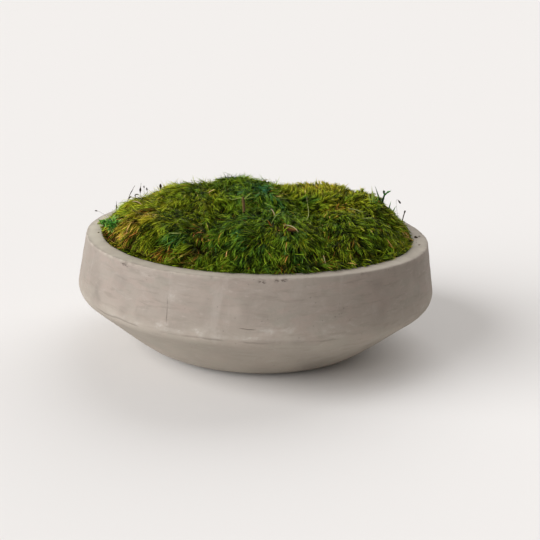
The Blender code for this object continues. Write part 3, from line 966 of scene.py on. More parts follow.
# How many directions, and steps outwards, the way up the slope is measured at
DIRECTIONS, REACH_STEPS = 361, 700
# How far shoots stand off their even places, as shares of the spacing: along a ring, across it (a share of
# that), and in the skirt
LOOSE, LOOSE_RING, SKIRT_LOOSE = 0.45, 0.6, 0.3
# Where the leafy sprig sits no shoots grow: middle and radius
SPRIG_SEAT = np.array([-134.5, -54.0, 9.5]) * MM
rng = np.random.default_rng(20)


def shoot_places():
    """Plan places spread evenly over the surface.

    For each direction, the distance along the slope from the middle to the wall is summed up; each ring of
    shoots lies at one such distance, and has as many shoots as its girth has spacings.
    """
    directions = np.linspace(0, math.tau, DIRECTIONS)
    reach = np.linspace(0, MOSS_RADIUS - 1.0 * MM, REACH_STEPS)
    grid_r, grid_a = np.meshgrid(reach, directions)
    heights = moss_height(grid_r * np.cos(grid_a), grid_r * np.sin(grid_a))
    pieces = np.hypot(np.diff(grid_r, axis=1), np.diff(heights, axis=1))
    path = np.concatenate([np.zeros((len(directions), 1)), np.cumsum(pieces, axis=1)], axis=1)
    radii, angles = [], []
    for ring in np.arange(0.5, path[:, -1].max() / SHOOT_SPACING):
        at = np.array([np.interp(ring * SHOOT_SPACING, row, reach, right=np.nan) for row in path])
        girth = np.nanmean(at) * math.tau
        if np.isnan(girth):
            continue
        count = max(3, int(girth / SHOOT_SPACING))
        spread = np.arange(count) + rng.uniform(-LOOSE, LOOSE, count) + rng.uniform()
        spread = spread / count * math.tau % math.tau
        jitter = rng.uniform(-LOOSE, LOOSE, count) * SHOOT_SPACING
        radii.append(np.interp(spread, directions, at) + jitter * LOOSE_RING)
        angles.append(spread)
    radii, angles = np.concatenate(radii), np.concatenate(angles)
    keep = ~np.isnan(radii) & (radii < MOSS_RADIUS - SKIRT_BAND) & (radii > 0)
    x, y = radii[keep] * np.cos(angles[keep]), radii[keep] * np.sin(angles[keep])
    clear = np.hypot(x - SPRIG_SEAT[0], y - SPRIG_SEAT[1]) > SPRIG_SEAT[2]
    return x[clear], y[clear]


def skirt_places():
    """Plan places of the skirt: two rings close to the wall."""
    count = int(math.tau * MOSS_RADIUS / SKIRT_SPACING)
    turn = np.arange(2 * count) + rng.uniform(-SKIRT_LOOSE, SKIRT_LOOSE, 2 * count)
    turn = turn / count * math.tau
    radius = MOSS_RADIUS - np.where(turn < math.tau, *SKIRT_RINGS)
    return radius * np.cos(turn), radius * np.sin(turn)


shoot_x, shoot_y = (np.concatenate(pair) for pair in zip(shoot_places(), skirt_places()))
shoot_owner = owner(shoot_x, shoot_y)
shoot_skirt = np.hypot(shoot_x, shoot_y) > MOSS_RADIUS - SKIRT_BAND
shoot_numbers = np.bincount(shoot_owner, minlength=len(NAMES)).tolist()
print("shoots:", len(shoot_x), dict(zip(NAMES, shoot_numbers)))

# %% [markdown]
# ## How the moss grows
#
# The cushions differ: the front one hangs towards the rim, the left ones are combed to the left, the right
# one is short and curly, and the one behind is a yellow velvet. Each cushion has a direction in which its
# leaves sweep, a leaf length, an uprightness, an amount of curl and a place on the colour scale. Over the
# seams these measures meld, because neighbouring shoots grow into each other.

# %% Growth
# sweep in degrees from +X, leaf length in mm, uprightness, curl in degrees, colour, lightness
GROWTH = {
    "moss_front_left": (214, 14.0, 0.08, 45, 0.44, 0.43),
    "moss_left": (205, 14.0, 0.12, 45, 0.46, 0.54),
    "moss_top": (-62, 13.5, 0.15, 75, 0.31, 0.49),
    "moss_front": (-95, 13.0, 0.08, 62, 0.31, 0.49),
    "moss_right": (-60, 9.5, 0.15, 95, 0.40, 0.43),
    "moss_far_right": (-20, 9.0, 0.35, 80, 0.44, 0.43),
    "moss_back_right": (100, 6.0, 0.75, 60, 0.68, 0.66),
    "moss_back_left": (130, 13.0, 0.15, 50, 0.47, 0.52),
    "moss_back": (80, 11.5, 0.15, 60, 0.43, 0.50),
}
GROWTH_ROWS = np.array([GROWTH[name] for name in NAMES])
MELD = 46 * MM
# Layers of noise, as share, size and the noise's number: swirls of the sweep, clumps, and drifts of colour
SWIRLS = ((1.0, 30 * MM, 31), (0.8, 13 * MM, 32), (0.35, 6 * MM, 33))
CLUMPING = ((0.65, 19 * MM, 34), (0.55, 9 * MM, 35))
DRIFTS = ((0.07, 30 * MM, 41), (0.06, 9 * MM, 42))
SWIRL_TURN = 1.2
# Tinted places: middle and width in mm, shift on the colour scale, shift of lightness; the darker ones on
# the hollows are painted shade
TINTS_AND_HOLLOW_SHADE = (
    (-118, -75, 22, 0.12, -0.03),
    (-118, -95, 11, -0.20, -0.10),
    (-104, -62, 13, 0.02, 0.12),
    (-82, -104, 13, -0.04, -0.12),
    (-71, -112, 9, -0.04, 0.08),
    (-138, -58, 13, 0.05, -0.10),
    (-102, -60, 11, 0.14, 0.08),
    (-86, -24, 14, 0.02, 0.12),
    (-58, -8, 14, -0.06, 0.07),
    (-34, -2, 11, 0.00, 0.10),
    (-128, -78, 8, 0.04, 0.14),
    (39, -124, 12, -0.10, -0.08),
    (130, -62, 14, 0.03, 0.12),
    (2, -6, 12, -0.04, 0.14),
    (-25, -76, 14, 0.00, -0.08),
    (-36, -132, 12, 0.00, -0.06),
    (40, -134, 12, 0.00, 0.08),
    (-108, 34, 14, 0.02, 0.08),
    (100, -46, 12, 0.00, -0.12),
    (-95, -103, 20, 0.05, -0.03),
    (27, -98, 16, -0.02, 0.03),
    (-20, 32, 20, 0.00, 0.12),
    (-72, 40, 22, 0.02, 0.06),
    (-100, 20, 18, 0.02, 0.09),
    (-124, 10, 16, 0.03, 0.10),
    (78, 12, 16, -0.02, -0.10),
    (-30, -20, 16, 0.00, -0.04),
    (-118, -11, 20, 0.10, 0.03),
    (-61, -34, 18, 0.04, 0.02),
    (-79, -65, 14, -0.08, -0.06),
    (-71, -112, 11, -0.20, 0.00),
    (-43, -10, 18, 0.08, 0.03),
    (-73, -58, 14, 0.02, 0.14),
    (-14, -4, 14, -0.08, -0.06),
    (4, 4, 11, -0.22, -0.02),
    (16, -32, 14, -0.12, 0.00),
    (49, -5, 12, -0.28, 0.02),
    (41, -121, 8, 0.15, 0.10),
    (35, -131, 8, -0.10, 0.00),
    (-20, -120, 14, -0.05, -0.02),
    (57, -54, 16, -0.05, -0.08),
    (62, -104, 15, 0.04, -0.08),
    (70, -128, 14, -0.04, -0.08),
    (82, -22, 9, 0.05, -0.10),
    (52, -126, 9, 0.00, -0.10),
    (108, -28, 15, -0.02, -0.07),
    (80, -26, 12, 0.12, -0.12),
    (143, -46, 13, 0.15, 0.12),
    (72, -125, 10, 0.08, 0.06),
    (3, -78, 10, -0.05, -0.14),
    (-48, -114, 9, 0.08, -0.08),
    (-100, 70, 25, 0.08, 0.03),
    (60, 110, 22, 0.10, 0.03),
    (-10, 120, 20, -0.16, -0.02),
    (-95, -74, 9, 0.04, 0.13),
    (-60, -104, 12, 0.00, 0.08),
    (45, -104, 14, 0.02, 0.10),
    (-62, -122, 9, 0.00, 0.08),
)
# Dry places: middle and width in mm, colour on the scale, share of leaves that are dry
DRY = (
    (-117, -70, 9, 0.84, 0.30),
    (-112, -86, 8, 0.97, 0.40),
    (-138, -60, 14, 0.98, 0.60),
    (-147, -34, 9, 0.98, 0.60),
    (-108, -47, 9, 0.97, 0.45),
    (-101, -64, 9, 0.89, 0.25),
    (-100, -52, 6, 0.98, 0.35),
    (-124, -74, 10, 0.85, 0.32),
    (-51, -97, 7, 0.96, 0.45),
    (-48, -114, 6, 0.90, 0.40),
    (-56, -133, 9, 0.92, 0.40),
    (-82, -126, 9, 0.97, 0.40),
    (18, 8, 8, 0.86, 0.35),
    (22, -101, 6, 0.97, 0.40),
    (26, -146, 7, 0.97, 0.45),
    (60, -135, 8, 0.97, 0.40),
    (80, -26, 11, 0.98, 0.65),
    (84, -20, 8, 0.94, 0.50),
    (63, -93, 6, 0.91, 0.30),
    (88, -101, 6, 0.91, 0.40),
    (150, -18, 9, 0.88, 0.50),
    (-95, 40, 12, 0.94, 0.35),
    (30, 84, 12, 0.95, 0.35),
    (-30, 128, 14, 0.94, 0.40),
    (110, 78, 12, 0.96, 0.40),
)


def growth(x, y):
    """Each place's measures of growth: those of all cushions, weighted by nearness, angles as arrows.

    A weight is e to the power of minus (squared distance, less that to the nearest middle) / MELD squared.
    """
    squared = (x[..., None] - MIDDLES[:, 0]) ** 2 + (y[..., None] - MIDDLES[:, 1]) ** 2
    weight = np.exp(-(squared - squared.min(axis=-1, keepdims=True)) / MELD**2)
    weight /= weight.sum(axis=-1, keepdims=True)
    measures = weight @ GROWTH_ROWS
    sweep = np.radians(GROWTH_ROWS[:, 0])
    measures[..., 0] = np.arctan2(weight @ np.sin(sweep), weight @ np.cos(sweep))
    return measures


def patches(x, y, table):
    """Closeness to each patch of a table: e to the power of minus (distance / the patch's width) squared."""
    middle_x, middle_y, width = (np.array(column) * MM for column in list(zip(*table))[:3])
    return np.exp(-((x[..., None] - middle_x) ** 2 + (y[..., None] - middle_y) ** 2) / width**2)


def layered(x, y, layers):
    """Layers of noise, each with its share, added up."""
    return sum(share * plan_noise(x, y, size, seed) for share, size, seed in layers)


def sweep_angle(x, y, measures):
    """The plan angle in which leaves sweep: the cushion's own, turned by broad and fine swirls."""
    return measures[..., 0] + np.radians(measures[..., 3]) * layered(x, y, SWIRLS) * SWIRL_TURN


print("growth in the middle of", NAMES[3] + ":", growth(*MIDDLES[3]).round(2).tolist())

# %% [markdown]
# ## A leaf, and a shoot of leaves
#
# A leaf is a narrow curved blade that ends in a fine point. Its middle line is start + length times
# (t * first direction + t squared / 2 * bend), and its edges lie to both sides of that line. Three pairs of
# corners and a tip are enough for the curve. A shoot is a plume: its stem comes up out of the cushion and
# arches over, and its leaves stand round it and all curve to the side that it leans to. That is what gives
# this moss its windswept look, with light plumes and dark gaps between them.

# %% Leaves as arrays
LEAVES = 26
LEAF_WIDTH = 0.58 * MM
# Thin bright leaves that stray from the others: their share, how far up the stem they start, their length
STRAY_SHARE, STRAY_FROM, STRAY_LENGTH = 0.14, 0.35, 1.3
# How steep the surface may be for the shoots' slant, and for that of the skirt's shoots
STEEPEST, SKIRT_STEEPEST = 1.3, 0.12
# The skirt: its size and how much larger it is in front, how far it is raised there, and how it stands
SKIRT_SIZE = (0.75, 0.50)
SKIRT_LIFT = 1.7
SKIRT_UPRIGHT = 0.35
# Leaves at the wall: gaps to it and to the rim's top, how far they reach out over it, and from what depth
WALL_GAP, RIM_GAP = 0.8 * MM, 0.35 * MM
OVERHANG = 0.8
EDGE_REACH = 1.5 * MM
FRONT_REACH = 6.5 * MM
DRAPE_DEPTH = 4.0 * MM
# Stations along a leaf and its width at each; then each corner's station and its side
ALONG = np.array([0.0, 0.36, 0.72, 1.0])
WIDE = np.array([0.55, 1.0, 0.62, 0.0])
STATION = np.array([0, 0, 1, 1, 2, 2, 3])
SIDE = np.array([-1, 1, -1, 1, -1, 1, 0])
# A stem's height and how far it arches over; how far below the moss's surface it is set
ROOT_DEPTH = 7.5 * MM
PLUME = 9.0 * MM
SUNK = 2.2 * MM
# A leaf's turn from root to tip in degrees, and how much it differs between neighbours on a shoot
LEAF_TURN, TURN_SPREAD = (40, 110), 12
# How far clumps, and single shoots, stand out of the surface
CLUMPS, PROUD = 5.2 * MM, 1.1 * MM


def shoot_frames(x, y, measures, skirt):
    """Each shoot's root, the normal of the moss there, and the direction it sweeps to along the surface.

    Close to the wall the surface is a cliff. There the normal is held at a slant, so that the shoots lean
    out and do not hang. The skirt's shoots stand nearly upright and sweep outwards, and their roots lie
    about level with the rim, higher where the rim is raised.
    """
    along_x, along_y = moss_slope(x, y)
    steep = np.hypot(along_x, along_y)
    ease = np.minimum(1.0, np.where(skirt, SKIRT_STEEPEST, STEEPEST) / np.maximum(steep, 1e-9))
    along_x, along_y = along_x * ease, along_y * ease
    normal = unit(np.stack([-along_x, -along_y, np.ones_like(x)], axis=-1))
    angle = sweep_angle(x, y, measures) + np.radians(rng.normal(0, 13, len(x)))
    down = np.stack([-along_x, -along_y], axis=-1)
    outward = unit(np.stack([x, y], axis=-1)) * np.where(skirt, 1.0, 0.0)[:, None]
    plan = unit(np.stack([np.cos(angle), np.sin(angle)], axis=-1) + 0.5 * down + outward)
    rise = along_x * plan[:, 0] + along_y * plan[:, 1]
    sweep = unit(np.concatenate([plan, rise[:, None]], axis=-1))
    edge = HEIGHT + SKIRT_LIFT * rim_raise(np.arctan2(x, -y)) + rng.uniform(-2, 3.5, len(x)) * MM
    height = np.where(skirt, edge, moss_height(x, y) - SUNK)
    root = np.stack([x, y, height], axis=-1)
    proud = PROUD * rng.normal(0, 1, len(x)).clip(-2, 2) + CLUMPS * layered(x, y, CLUMPING)
    return root + normal * (proud * ~skirt)[:, None], normal, sweep


def leaves_of(x, y, measures, skirt):
    """All leaves of an array of shoots: corner places, each leaf's place on its stem, and the bright ones.

    The stem is root + normal * depth * (1.25 s - 0.35 s^2 - 1) + sweep * plume * (0.15 s + 0.75 s^2 - 0.9).
    A leaf starts at its place s on the stem and is an arc of a circle: with the turn growing evenly along
    it, it goes sin(turn) ahead and 1 - cos(turn) to the side that the shoot sweeps to. Some thin bright
    leaves stray from the others. The more upright a cushion, the less its stems and leaves arch.
    """
    root, normal, sweep = shoot_frames(x, y, measures, skirt)
    count = len(x)
    shape = (count, LEAVES)
    upright = np.where(skirt, SKIRT_UPRIGHT, measures[:, 2]) + rng.normal(0, 0.10, count)
    upright = np.clip(upright, 0, 1)[:, None, None]
    front = rim_raise(np.arctan2(x, -y)) / RIM_WAVE[0]
    size = np.where(skirt, SKIRT_SIZE[0] + SKIRT_SIZE[1] * front, 1.0)[:, None, None]
    normal, sweep = normal[:, None, :], sweep[:, None, :]
    across = np.cross(normal, sweep)
    s = ((np.arange(LEAVES) + rng.uniform(0, 1, shape))[..., None] / LEAVES) ** 0.8
    stray = (rng.uniform(0, 1, (*shape, 1)) < STRAY_SHARE) & (s > STRAY_FROM)
    plume = PLUME * (1 - 0.85 * upright) * rng.uniform(0.7, 1.3, (count, 1, 1))
    start = root[:, None, :] + normal * ROOT_DEPTH * ((1.25 + 0.1 * upright) * s - 0.35 * s**2 - 1)
    start = start + sweep * plume * (0.15 * s + 0.75 * s**2 - 0.9) * size
    stem = unit(normal * ROOT_DEPTH * (1.25 - 0.7 * s) + sweep * plume * (0.15 + 1.5 * s))
    side = rng.uniform(0, math.tau, shape)[..., None]
    outward = across * np.cos(side) + np.cross(stem, across) * np.sin(side)
    first = stem + sweep * 0.35 * (1 - upright) + outward * (0.22 + 0.30 * (1 - s))
    first = unit(first + rng.normal(0, 0.07, (*shape, 3)))
    aim = sweep * (1.0 - 0.7 * upright) - normal * 0.45 * (1 - upright) + rng.normal(0, 0.24, (count, 1, 3))
    target = aim + rng.normal(0, 1, (*shape, 3)) * np.where(stray, 0.40, 0.13)
    bend = unit(target - first * np.sum(target * first, axis=-1, keepdims=True))
    turn = rng.uniform(*LEAF_TURN, (count, 1)) + rng.normal(0, TURN_SPREAD, shape)
    turn = np.radians(turn)[..., None] * (1 - 0.5 * upright)
    length = measures[:, 1][:, None, None] * MM * size * rng.uniform(0.8, 1.2, (count, 1, 1))
    length = length * rng.uniform(0.75, 1.1, (*shape, 1)) * (1.0 - 0.15 * s)
    length = length * np.where(stray, STRAY_LENGTH, 1.0)
    angle = turn[..., None] * ALONG[None, None, :, None]
    ahead, aside = np.sin(angle), 1 - np.cos(angle)
    line = ahead * first[:, :, None, :] + aside * bend[:, :, None, :]
    line = start[:, :, None, :] + (length / turn)[..., None] * line
    edge = unit(unit(np.cross(first, bend)) + rng.normal(0, 0.35, (*shape, 3)))
    width = LEAF_WIDTH * rng.uniform(0.65, 1.2, (*shape, 1))
    half = 0.5 * width[..., None] * WIDE[STATION][:, None] * edge[:, :, None, :]
    return inside_wall(line[:, :, STATION] + SIDE[:, None] * half), s[..., 0], stray[..., 0]


def inside_wall(corners):
    """Hold leaves off the concrete: below the rim's top they stay inside the wall.

    Above it they may lean out by OVERHANG for each metre of height. They drape over the rim by EDGE_REACH,
    and by up to FRONT_REACH more where the rim is raised.
    """
    radius = np.hypot(corners[..., 0], corners[..., 1])
    raised = rim_raise(np.arctan2(corners[..., 0], -corners[..., 1]))
    above = corners[..., 2] - HEIGHT - raised
    reach = (EDGE_REACH + FRONT_REACH * raised / RIM_WAVE[0]) * (above > -DRAPE_DEPTH)
    limit = INNER_RADIUS - WALL_GAP + reach + OVERHANG * np.maximum(0.0, above)
    corners[..., :2] *= np.minimum(1.0, limit / np.maximum(radius, 1e-9))[..., None]
    on_rim = np.minimum(radius, limit) > INNER_RADIUS - 0.5 * MM
    corners[..., 2] += np.where(on_rim, np.maximum(0.0, RIM_GAP - above), 0.0)
    return corners


print("leaf:", len(ALONG), "stations, about", LEAF_WIDTH * 1000, "mm wide")

# %% [markdown]
# ## Colour by place on a map
#
# One material serves every leaf. It reads only the leaf's own UV map: across the map runs a scale of moss
# colours, from blue green over green, olive and yellow to straw and rust; up the map runs the lightness,
# from the dark root of a leaf to its bright tip. That lightness is partly the leaves' own tones and partly
# painted light: painted shade at the roots and on leaves low in the cushion, and a painted highlight near
# the tip. A leaf is laid on the map where its colours are. The map depends on nothing else, so it can be
# painted out exactly.

# %% Moss material and its map
UV_NAME = "OFBake"
MAP_HALF = 0.006
# Lightness: painted shade on the skirt's shoots by the wall, painted light on clumps that stand out, extra
# lightness of strays; and how much shoots and leaves differ
SKIRT_SHADE, CLUMP_PAINTED_LIGHT, STRAY_LIGHT = 0.13, 0.34, 0.38
SHOOT_LIGHT, LEAF_LIGHT = 0.17, 0.18
STRAY_HUE = 0.06
# Leaves that are dry anywhere: their share, their place on the colour scale, and where dry colours begin
DRY_SHARE, DRY_HUE, DRY_FROM = 0.012, 0.90, 0.84


def moss_material():
    """The colour scale across the map, times the lightness up the map."""
    mix = Shading("moss_leaf", roughness=0.55, specular=0.05)
    across, up, _ = mix.apart(mix.node("UVMap", {}, uv_map=UV_NAME).outputs["UV"])
    hue = mix.ramp(across, (
        (0.00, (0.040, 0.150, 0.052)),
        (0.14, (0.050, 0.170, 0.030)),
        (0.30, (0.115, 0.225, 0.010)),
        (0.45, (0.200, 0.285, 0.009)),
        (0.58, (0.310, 0.350, 0.012)),
        (0.70, (0.430, 0.375, 0.016)),
        (0.80, (0.540, 0.400, 0.035)),
        (0.88, (0.720, 0.520, 0.130)),
        (0.94, (0.560, 0.280, 0.045)),
        (1.00, (0.360, 0.110, 0.012)),
    ))
    light = mix.ramp(up, (
        (0.00, (0.05, 0.05, 0.04)),
        (0.25, (0.15, 0.15, 0.09)),
        (0.50, (0.54, 0.55, 0.42)),
        (0.75, (1.15, 1.15, 1.25)),
        (1.00, (2.10, 1.95, 4.20)),
    ))
    return mix.colour(mix.mix(1.0, hue, light, "MULTIPLY"))


MOSS = moss_material()


def leaf_colours(x, y, measures, s, stray, skirt):
    """Each leaf's place on the colour scale, and its lightness at the root and at the tip, painted shade
    included.
    """
    count = len(x)
    shape = (count, LEAVES)
    # Tinted places shift colour and lightness; where they darken the hollows it is painted shade
    tints = patches(x, y, TINTS_AND_HOLLOW_SHADE) @ np.array(TINTS_AND_HOLLOW_SHADE)[:, 3:]
    hue = measures[:, 4] + tints[:, 0] + layered(x, y, DRIFTS)
    light = measures[:, 5] + tints[:, 1] + CLUMP_PAINTED_LIGHT * layered(x, y, CLUMPING)
    light = light + rng.normal(0, SHOOT_LIGHT, count) - SKIRT_SHADE * skirt
    hue = hue[:, None] + rng.normal(0, 0.06, (count, 1)) + rng.normal(0, 0.03, shape)
    # Leaves lower on the stem are darker, as painted shade deep in the cushion
    light = light[:, None] + rng.normal(0, LEAF_LIGHT, shape) + 0.42 * (s - 0.64)
    dry = rng.uniform(0, 1, shape) < DRY_SHARE
    hue = np.where(dry, DRY_HUE + 0.05 * rng.uniform(-1, 1, shape), hue)
    for near, (*_, tone, share) in zip(patches(x, y, DRY).T, DRY):
        hit = rng.uniform(0, 1, shape) < (share * near)[:, None]
        hue = np.where(hit, tone + 0.05 * rng.normal(0, 1, shape), hue)
        light = np.where(hit, light - 0.05, light)
    light = np.where(stray, light + STRAY_LIGHT, light)
    hue = np.where(stray, hue + STRAY_HUE, hue)
    # The root of a green leaf is far darker than its tip, as painted shade; a dry leaf's root less so
    tip = np.clip(light, 0.06, 0.97)
    root = np.clip(np.where(hue > DRY_FROM, 0.60, 0.25) * light - 0.06 + 0.08 * s, 0.02, 0.8)
    return np.clip(hue, 0.02, 0.98), root, tip


# %% [markdown]
# ## A cushion
#
# Under the leaves a cushion is a dense mass of old brown stems. It is made as a closed lumpy body a
# little below the tips, so that no gap between leaves lets one see through the moss. Its colour is nearly
# black: the brown of old stems, made darker as painted shade deep in the cushion. The leaves are joined
# to it in one mesh, which stands for the cushion's solid.

# %% Build the cushions
BODY_STEPS = 72
BODY_RINGS = np.array([0.12, 0.25, 0.38, 0.5, 0.62, 0.74, 0.85, 0.94, 1.0])
BODY_SINK = 7.5 * MM
BODY_FOOT = SOIL_TOP + 0.4 * MM
BODY_LUMPS = (1.2 * MM, 5 * MM, 51)
# Gaps of the bodies, to the wall and to each other, and the least turn towards a neighbour that counts
BODY_WALL_GAP, BODY_GAP, FACING = 0.5 * MM, 0.3 * MM, 0.05
# Where the bodies' faces lie on the map: in its dark rusty corner, darker than old stems are, as painted
# shade deep in the cushion
BODY_MAP = np.array([[0.965, 0.03], [0.985, 0.03], [0.985, 0.06], [0.965, 0.06]])
CAP_MAP = np.array([[0.965, 0.03], [0.985, 0.03], [0.975, 0.06]])


def cushion_reach(row):
    """Distance from a cushion's middle to its edge, halfway to the neighbours or at the wall."""
    angle = np.arange(BODY_STEPS) * math.tau / BODY_STEPS
    ahead = np.stack([np.cos(angle), np.sin(angle)], axis=-1)
    middle = MIDDLES[row]
    along = ahead @ middle
    reach = -along + np.sqrt(along**2 + (MOSS_RADIUS - BODY_WALL_GAP) ** 2 - middle @ middle)
    others = np.delete(MIDDLES, row, axis=0) - middle
    distance = np.linalg.norm(others, axis=1)
    facing = ahead @ (others / distance[:, None]).T
    limit = np.where(facing > FACING, distance / 2 / np.maximum(facing, FACING), np.inf).min(axis=1)
    return ahead, np.minimum(reach, limit) - BODY_GAP


def cushion_body(row):
    """The closed body of stems: rings from the middle to the edge, the sides, and the underside."""
    ahead, reach = cushion_reach(row)
    middle = MIDDLES[row]
    plan = middle + ahead[None] * (reach * BODY_RINGS[:, None])[..., None]
    top = moss_height(plan[..., 0], plan[..., 1]) - BODY_SINK
    spot = np.concatenate([plan, top[..., None]], axis=-1)
    spot[..., 2] += BODY_LUMPS[0] * noise(spot, *BODY_LUMPS[1:])
    under = spot[-1].copy()
    under[:, 2] = BODY_FOOT
    peak = moss_height(middle[None, 0], middle[None, 1])[0] - BODY_SINK
    ends = [[*middle, peak], [*middle, BODY_FOOT]]
    points = np.concatenate([spot.reshape(-1, 3), under, ends])
    return points, *ring_faces(len(BODY_RINGS) + 1, BODY_STEPS, flip=True)


# How far each station of a leaf is on the way from its root's lightness to its tip's: the dark root is
# painted shade, and the brightest station, on the crest of the arc, is a painted highlight
LEAF_SHADE_TO_HIGHLIGHT = np.array([0.0, 0.65, 1.0, 0.95])


def map_corners(hue, root, tip):
    """Each leaf's corners on the map: to both sides of its colour, and lighter from painted shade at its root
    to a painted highlight near its tip.
    """
    up = root[..., None] + (tip - root)[..., None] * LEAF_SHADE_TO_HIGHLIGHT
    return np.stack([hue[..., None] + SIDE * MAP_HALF, up[..., STATION]], axis=-1)


LEAF_LOOPS = np.array([0, 1, 3, 2, 2, 3, 5, 4, 4, 5, 6])
LEAF_SIZES = np.array([4, 4, 3])
SPRIG_CLEAR = 0.8


def off_sprig(corners):
    """Which leaves stay clear of the leafy sprig's seat: those with middle and tip outside its circle."""
    away = np.hypot(corners[..., 3:, 0] - SPRIG_SEAT[0], corners[..., 3:, 1] - SPRIG_SEAT[1])
    return away.min(axis=-1) > SPRIG_CLEAR * SPRIG_SEAT[2]


def cushion(row, finish):
    """One cushion of moss: its body of stems and all leaves of its shoots, in one mesh."""
    mine = shoot_owner == row
    x, y = shoot_x[mine], shoot_y[mine]
    measures = growth(x, y)
    corners, s, stray = leaves_of(x, y, measures, shoot_skirt[mine])
    hue, root, tip = leaf_colours(x, y, measures, s, stray, shoot_skirt[mine])
    clear = off_sprig(corners)
    corners, uv = corners[clear], map_corners(hue[clear], root[clear], tip[clear])
    body, quads, triangles = cushion_body(row)
    loops, sizes = face_arrays(quads, triangles)
    leaf_firsts = len(body) + len(STATION) * np.arange(len(uv))
    loops = np.concatenate([loops, (leaf_firsts[:, None] + LEAF_LOOPS).ravel()])
    sizes = np.concatenate([sizes, np.tile(LEAF_SIZES, len(uv))])
    points = np.concatenate([body, corners.reshape(-1, 3)])
    piece = new_piece(NAMES[row] + "_leaves", points, loops, sizes, MOSS, finish)
    body_uv = np.tile(BODY_MAP, (len(quads), 1))
    cap_uv = np.tile(CAP_MAP, (len(triangles), 1))
    all_uv = np.concatenate([body_uv, cap_uv, uv[:, LEAF_LOOPS].reshape(-1, 2)])
    layer = piece.data.uv_layers.new(name=UV_NAME)
    layer.data.foreach_set("uv", all_uv.astype(np.float32).ravel())
    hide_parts(NAMES[row])


SLOTS = {entry["node"]: entry["material_slot"] for entry in frame["record"]["subparts"]}
for row, name in enumerate(NAMES):
    cushion(row, SLOTS[name])

# %% [markdown]
# ## Litter: twigs, leaves and stalks
#
# Moss is gathered from woodland ground, and small litter comes with it: a forked twig, a curled scrap of
# leaf, a leafy sprig, a dark forked shoot, and the fine stalks on which moss carries its spores. All of them
# are made from two shapes. A tube follows a smooth curve through a few places. A small leaf is a flattened
# tube that comes to a point at both ends; many are made at once from one array.

# %% Tubes and small leaves
LEAF_STATIONS = 6
LEAF_SIDES = 6
LEAF_THICKNESS = 0.16
LEAF_HOLLOW = 0.1


def over_moss(rows):
    """Rows of x, y and distance above the moss in millimetres, as places in metres."""
    rows = np.array(rows, float) * MM
    rows[:, 2] += moss_height(rows[:, 0], rows[:, 1], dents=())
    return rows


def smooth_way(rows, count):
    """A smooth curve: each coordinate is the cubic, or less, that fits its values at the share of the way."""
    rows = np.asarray(rows, float)
    share = np.concatenate([[0.0], np.cumsum(np.linalg.norm(np.diff(rows, axis=0), axis=1))])
    fits = np.polyfit(share / share[-1], rows, min(3, len(rows) - 1))
    return np.stack([np.polyval(fit, np.linspace(0, 1, count)) for fit in fits.T], axis=-1)


def tube(path, radii, tone, sides=10):
    """A closed tube: ring i is path i + radius i * (across * cos a + over * sin a).

    Across and over stand at right angles to the way ahead. The tone of its corners, from 0 to 1, is one
    number, or one for each ring, or one for each corner of each ring.
    """
    ahead = unit(np.gradient(path, axis=0))
    aside = np.eye(3)[np.argmin(np.abs(path[-1] - path[0]))]
    across = unit(np.cross(ahead, aside))
    over = np.cross(ahead, across)
    angle = (np.arange(sides) * math.tau / sides)[None, :, None]
    shape = (len(path), sides)
    radii = np.broadcast_to(np.reshape(radii, (len(path), -1)), shape)
    outward = across[:, None] * np.cos(angle) + over[:, None] * np.sin(angle)
    rings = path[:, None] + radii[..., None] * outward
    tones = np.broadcast_to(np.reshape(tone, (-1, 1)) if np.ndim(tone) == 1 else tone, shape)
    points = np.concatenate([rings.reshape(-1, 3), path[[0, -1]]])
    return points, *ring_faces(*shape), np.concatenate([tones.ravel(), tones[[0, -1], 0]])


def small_leaves(roots, ahead, up, length, width, tone, tip_tone=0.0, cup=0.2, fullest=0.75):
    """Closed leaves: flattened rings of corners carried along each leaf, with one corner at each end.

    At t along its length a leaf is width * sin(pi * t ** fullest) wide and length * cup * t * t high.
    """
    count = len(roots)
    t = np.linspace(0.02, 0.98, LEAF_STATIONS)[:, None]
    angle = (np.arange(LEAF_SIDES) * math.tau / LEAF_SIDES)[None]
    half = 0.5 * np.sin(math.pi * t**fullest)
    along = np.concatenate([np.broadcast_to(t, (LEAF_STATIONS, LEAF_SIDES)).ravel(), [0.0, 1.0]])
    beside = np.append((half * np.cos(angle)).ravel(), [0.0, 0.0])
    thick = np.append((LEAF_THICKNESS * half * np.sin(angle)).ravel(), [0.0, 0.0])
    ahead = unit(np.asarray(ahead, float))
    side = unit(np.cross(up, ahead))
    over = np.cross(ahead, side)
    length, width = (np.broadcast_to(np.reshape(value, (-1, 1)), (count, 1)) for value in (length, width))
    rise = width * thick + cup * length * along**2 + LEAF_HOLLOW * width * np.abs(beside)
    points = roots[:, None]
    for amount, way in ((length * along, ahead), (width * beside, side), (rise, over)):
        points = points + amount[..., None] * way[:, None]
    firsts = (np.arange(count) * len(along))[:, None, None]
    quads, triangles = (faces + firsts for faces in ring_faces(LEAF_STATIONS, LEAF_SIDES))
    tones = np.reshape(tone, (-1, 1)) + tip_tone * along + np.zeros((count, 1))
    return points.reshape(-1, 3), quads.reshape(-1, 4), triangles.reshape(-1, 3), tones.ravel()


def litter(name, parts, material, slot, replaced=None):
    """One piece from closed shapes: their corners one after the other, with their faces moved on to match."""
    points, quads, triangles, tones = zip(*parts)
    firsts = np.cumsum([0] + [len(part) for part in points[:-1]])
    quads, triangles = (
        np.concatenate([part + first for part, first in zip(faces, firsts)]) for faces in (quads, triangles)
    )
    piece = new_piece(name, np.concatenate(points), *face_arrays(quads, triangles), material, slot)
    add_attribute(piece, "tone", np.concatenate(tones))
    if replaced:
        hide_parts(replaced)


